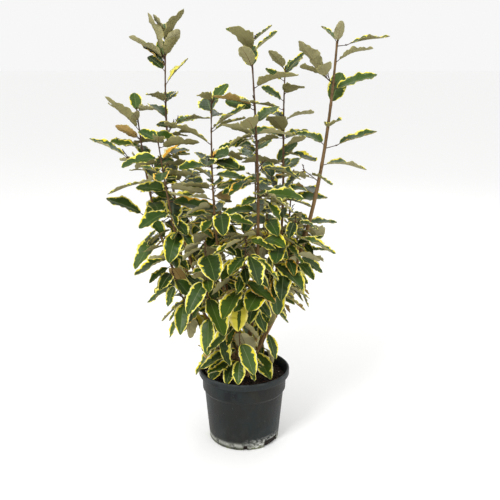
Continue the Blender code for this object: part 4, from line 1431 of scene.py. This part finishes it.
def scatter(name, count, sizes, lift, seed, material, longest=1.0):
    """Many small lumps strewn over the compost and joined; longest draws them out to fibres."""
    shape, faces = lump_shape()
    rng = np.random.default_rng(seed)
    room = soil_edge()[1] - sizes[1] * longest - CLEARANCE
    points = []
    for _ in range(count):
        lump = shape * (1 + rng.uniform(-LUMP_ROUGHNESS, LUMP_ROUGHNESS, (len(shape), 1)))
        lump = lump * rng.uniform(*sizes) * (longest * rng.uniform(0.7, 1.0), 1.0, LUMP_FLATNESS)
        turn = Matrix.Rotation(rng.uniform(0, math.tau), 3, "Z")
        turn = turn @ Matrix.Rotation(rng.uniform(-0.3, 0.3), 3, "Y")
        radius = room * math.sqrt(rng.random())
        bearing = rng.uniform(0, math.tau)
        height = SOIL_LEVEL + rng.uniform(*lift)
        place = (radius * math.cos(bearing), radius * math.sin(bearing), height)
        points.append(lump @ np.array(turn).T + place)
    offsets = (np.arange(count) * len(shape))[:, None, None]
    runs = [(faces[None] + offsets).reshape(-1, 3)]
    return array_mesh(name, np.concatenate(points), runs, np.zeros(count * len(faces)), [material])


def chip_piece(material):
    """The pale pointed chip that stands in the compost just inside the front of the rim."""
    fresh()
    bpy.ops.mesh.primitive_cone_add(vertices=7, radius1=0.5, radius2=0.06, depth=1)
    chip = bpy.context.object
    chip.name = "pale_chip"
    chip.scale = CHIP_SIZE
    chip.rotation_euler = (math.radians(-14), math.radians(10), math.radians(12))
    chip.location = Vector(CHIP_PLACE)
    bpy.ops.object.transform_apply(location=True, rotation=True, scale=True)
    bpy.ops.object.mode_set(mode="EDIT")
    bpy.ops.mesh.select_all(action="SELECT")
    bpy.ops.mesh.subdivide(number_cuts=2, smoothness=0.6, fractal=0.4, seed=3)
    bpy.ops.mesh.normals_make_consistent(inside=False)
    bpy.ops.object.mode_set(mode="OBJECT")
    bpy.ops.object.shade_smooth()
    chip.data.materials.append(material)
    return chip


# Scene

def add_camera():
    fresh()
    bpy.ops.object.camera_add(
        location=(0, -CAMERA_BACK, CAMERA_HEIGHT), rotation=(math.radians(90 - CAMERA_DOWN), 0, 0)
    )
    camera = bpy.context.object
    camera.data.sensor_width = SENSOR
    camera.data.lens = SENSOR * FOCAL_PIXELS / PHOTO_SIZE
    camera.data.shift_x = 0.5 - AXIS_COLUMN / PHOTO_SIZE
    bpy.context.scene.camera = camera


Lamp = namedtuple("Lamp", "name place size power")
LAMPS = (
    Lamp("key_light", (-1.3, -2.2, 2.7), 0.9, 60),
    Lamp("fill_light", (2.2, -1.8, 1.6), 1.6, 8),
    Lamp("back_light", (0.8, 2.2, 2.4), 1.6, 12),
)
AIM = (0, 0, 0.5)
SKY_LOW = 0.93
SKY_HIGH = 0.98
FLOOR_COLOUR = (0.93, 0.93, 0.925)


def add_light():
    for lamp in LAMPS:
        fresh()
        bpy.ops.object.light_add(type="AREA", location=lamp.place)
        light = bpy.context.object
        light.name = lamp.name
        light.rotation_euler = (Vector(AIM) - Vector(lamp.place)).to_track_quat("-Z", "Y").to_euler()
        light.data.size = lamp.size
        light.data.energy = lamp.power
    world = bpy.data.worlds.new("studio")
    world.use_nodes = True
    nodes, links = world.node_tree.nodes, world.node_tree.links
    split = nodes.new("ShaderNodeSeparateXYZ")
    links.new(nodes.new("ShaderNodeTexCoord").outputs["Generated"], split.inputs[0])
    fall = ramp_between(nodes, 0.08, 0.6)
    fall.inputs["To Min"].default_value = SKY_LOW
    fall.inputs["To Max"].default_value = SKY_HIGH
    links.new(split.outputs["Z"], fall.inputs["Value"])
    nodes["Background"].inputs["Color"].default_value = (1, 1, 1, 1)
    links.new(fall.outputs["Result"], nodes["Background"].inputs["Strength"])
    bpy.context.scene.world = world
    bpy.context.scene.view_settings.view_transform = "Standard"


def add_floor():
    fresh()
    bpy.ops.mesh.primitive_plane_add(size=60, location=(0, 0, -0.0005))
    floor = bpy.context.object
    floor.name = "studio_floor"
    finish = Finish("floor", FLOOR_COLOUR, 0.9)
    finish.grain(40.0, 0.85, 0.95, 0.0001)
    floor.data.materials.append(finish.material)


def grow_plant():
    """Every mass's twigs and leaves: those of the solids first, then the second round."""
    limbs, masses = plan_plant()
    crown = bare_crown(limbs, masses)
    first = {mass.name: grow(crown, mass) for mass in masses}
    grown = {}
    for mass in masses:
        twigs, leaves = first[mass.name]
        for number, share in SHORT_LEAVES.get(mass.name, {}).items():
            leaves[number] = leaves[number]._replace(length=leaves[number].length * share)
        more = [] if mass.name in FILL_OPEN else fill_out(crown, mass, twigs)
        grown[mass.name] = (mass, twigs, leaves + more)
    return grown


def dress_plant():
    grown = grow_plant()
    materials = leaf_materials()
    stem_bark = bark_look("stem_bark", screen(142, 112, 72), screen(84, 62, 46), 160.0)
    stout_bark = bark_look("stout_bark", screen(134, 106, 68), screen(112, 88, 58), 130.0)
    shoot_bark = bark_look("shoot_bark", screen(92, 70, 48), screen(62, 44, 36), 260.0)
    total = 0
    for name, short in LEAF_GROUPS:
        nodes = [base + "_leaves" for base in short]
        leaves = [leaf for node in nodes for leaf in grown[node][2]]
        total += len(leaves)
        golden = [grown[node][2][number] for node in nodes for number in GOLDEN_LEAVES.get(node, ())]
        piece = finished(leaf_piece(name, leaves, golden, materials), None, "foliage", *nodes)
        rods = Rods()
        for node in nodes:
            mass, twigs, mass_leaves = grown[node]
            rods.add(mass.path, mass.radii)
            for twig in twigs:
                middle = twig[0].lerp(twig[1], 0.5)
                rods.add([twig[0], middle, twig[1]], [TWIG_GIRTH / 2, TWIG_GIRTH / 2.4, TWIG_GIRTH / 3])
                add_bud(rods, twig[1], (twig[1] - twig[0]).normalized(), 1.3)
            rng = random.Random(mass.seed)
            for n, leaf in enumerate(mass_leaves):
                add_stalk(rods, leaf)
                if n % SPUR_EVERY == 1:
                    add_spur(rods, rng, leaf.root, leaf.bearing + rng.uniform(-40, 40))
                else:
                    way = heading(leaf.bearing, 35)
                    add_bud(rods, leaf.root + heading(leaf.bearing, 90) * STEM_TIP / 2, way, 0.8)
            add_bud(rods, mass.path[-1], mass.ways[-1], 1.6)
        twigs_name = name.replace("leaves", "twigs")
        finished(rods.piece(twigs_name, shoot_bark), None, "bark")
        print("piece", name, len(leaves), "leaves", len(piece.data.polygons), "faces")
    print("leaves", total)
    for stem in STEMS:
        roots = [leaf.root for leaf in grown[stem.name + "_top_leaves"][2]]
        nodes = [stem.name + "_lower_stem", stem.name + "_upper_stem"]
        bark = stout_bark if stem.name in STOUT_TIPS else stem_bark
        finished(stem_piece(stem, roots, bark), None, "bark", *nodes)
    finished(trunk_piece(stem_bark), None, "bark", "trunk")


def dress_pot():
    finished(pot_piece(pot_plastic()), None, "pot_plastic", "pot")
    finished(soil_piece(compost_look()), None, "compost", "soil")
    dark = crumb_look("compost_crumbs", screen(34, 26, 20), screen(58, 42, 32))
    finished(scatter("crumbs", CRUMBS, CRUMB_SIZE, (-0.001, 0.002), 5, dark), None, "compost")
    brown = crumb_look("bark_fibres", screen(78, 52, 38), screen(52, 34, 26))
    finished(scatter("fibres", FIBRES, (0.0010, 0.0018), (0.001, 0.003), 9, brown, 4.5), None, "compost")
    pale = crumb_look("pale_specks", screen(196, 186, 166), screen(150, 138, 118))
    finished(scatter("specks", SPECKS, SPECK_SIZE, (0.001, 0.003), 12, pale), None, "compost")
    cream = crumb_look("pale_chip", screen(238, 226, 180), screen(216, 196, 140))
    finished(chip_piece(cream), None, "compost")


add_camera()
add_light()
add_floor()
dress_pot()
dress_plant()
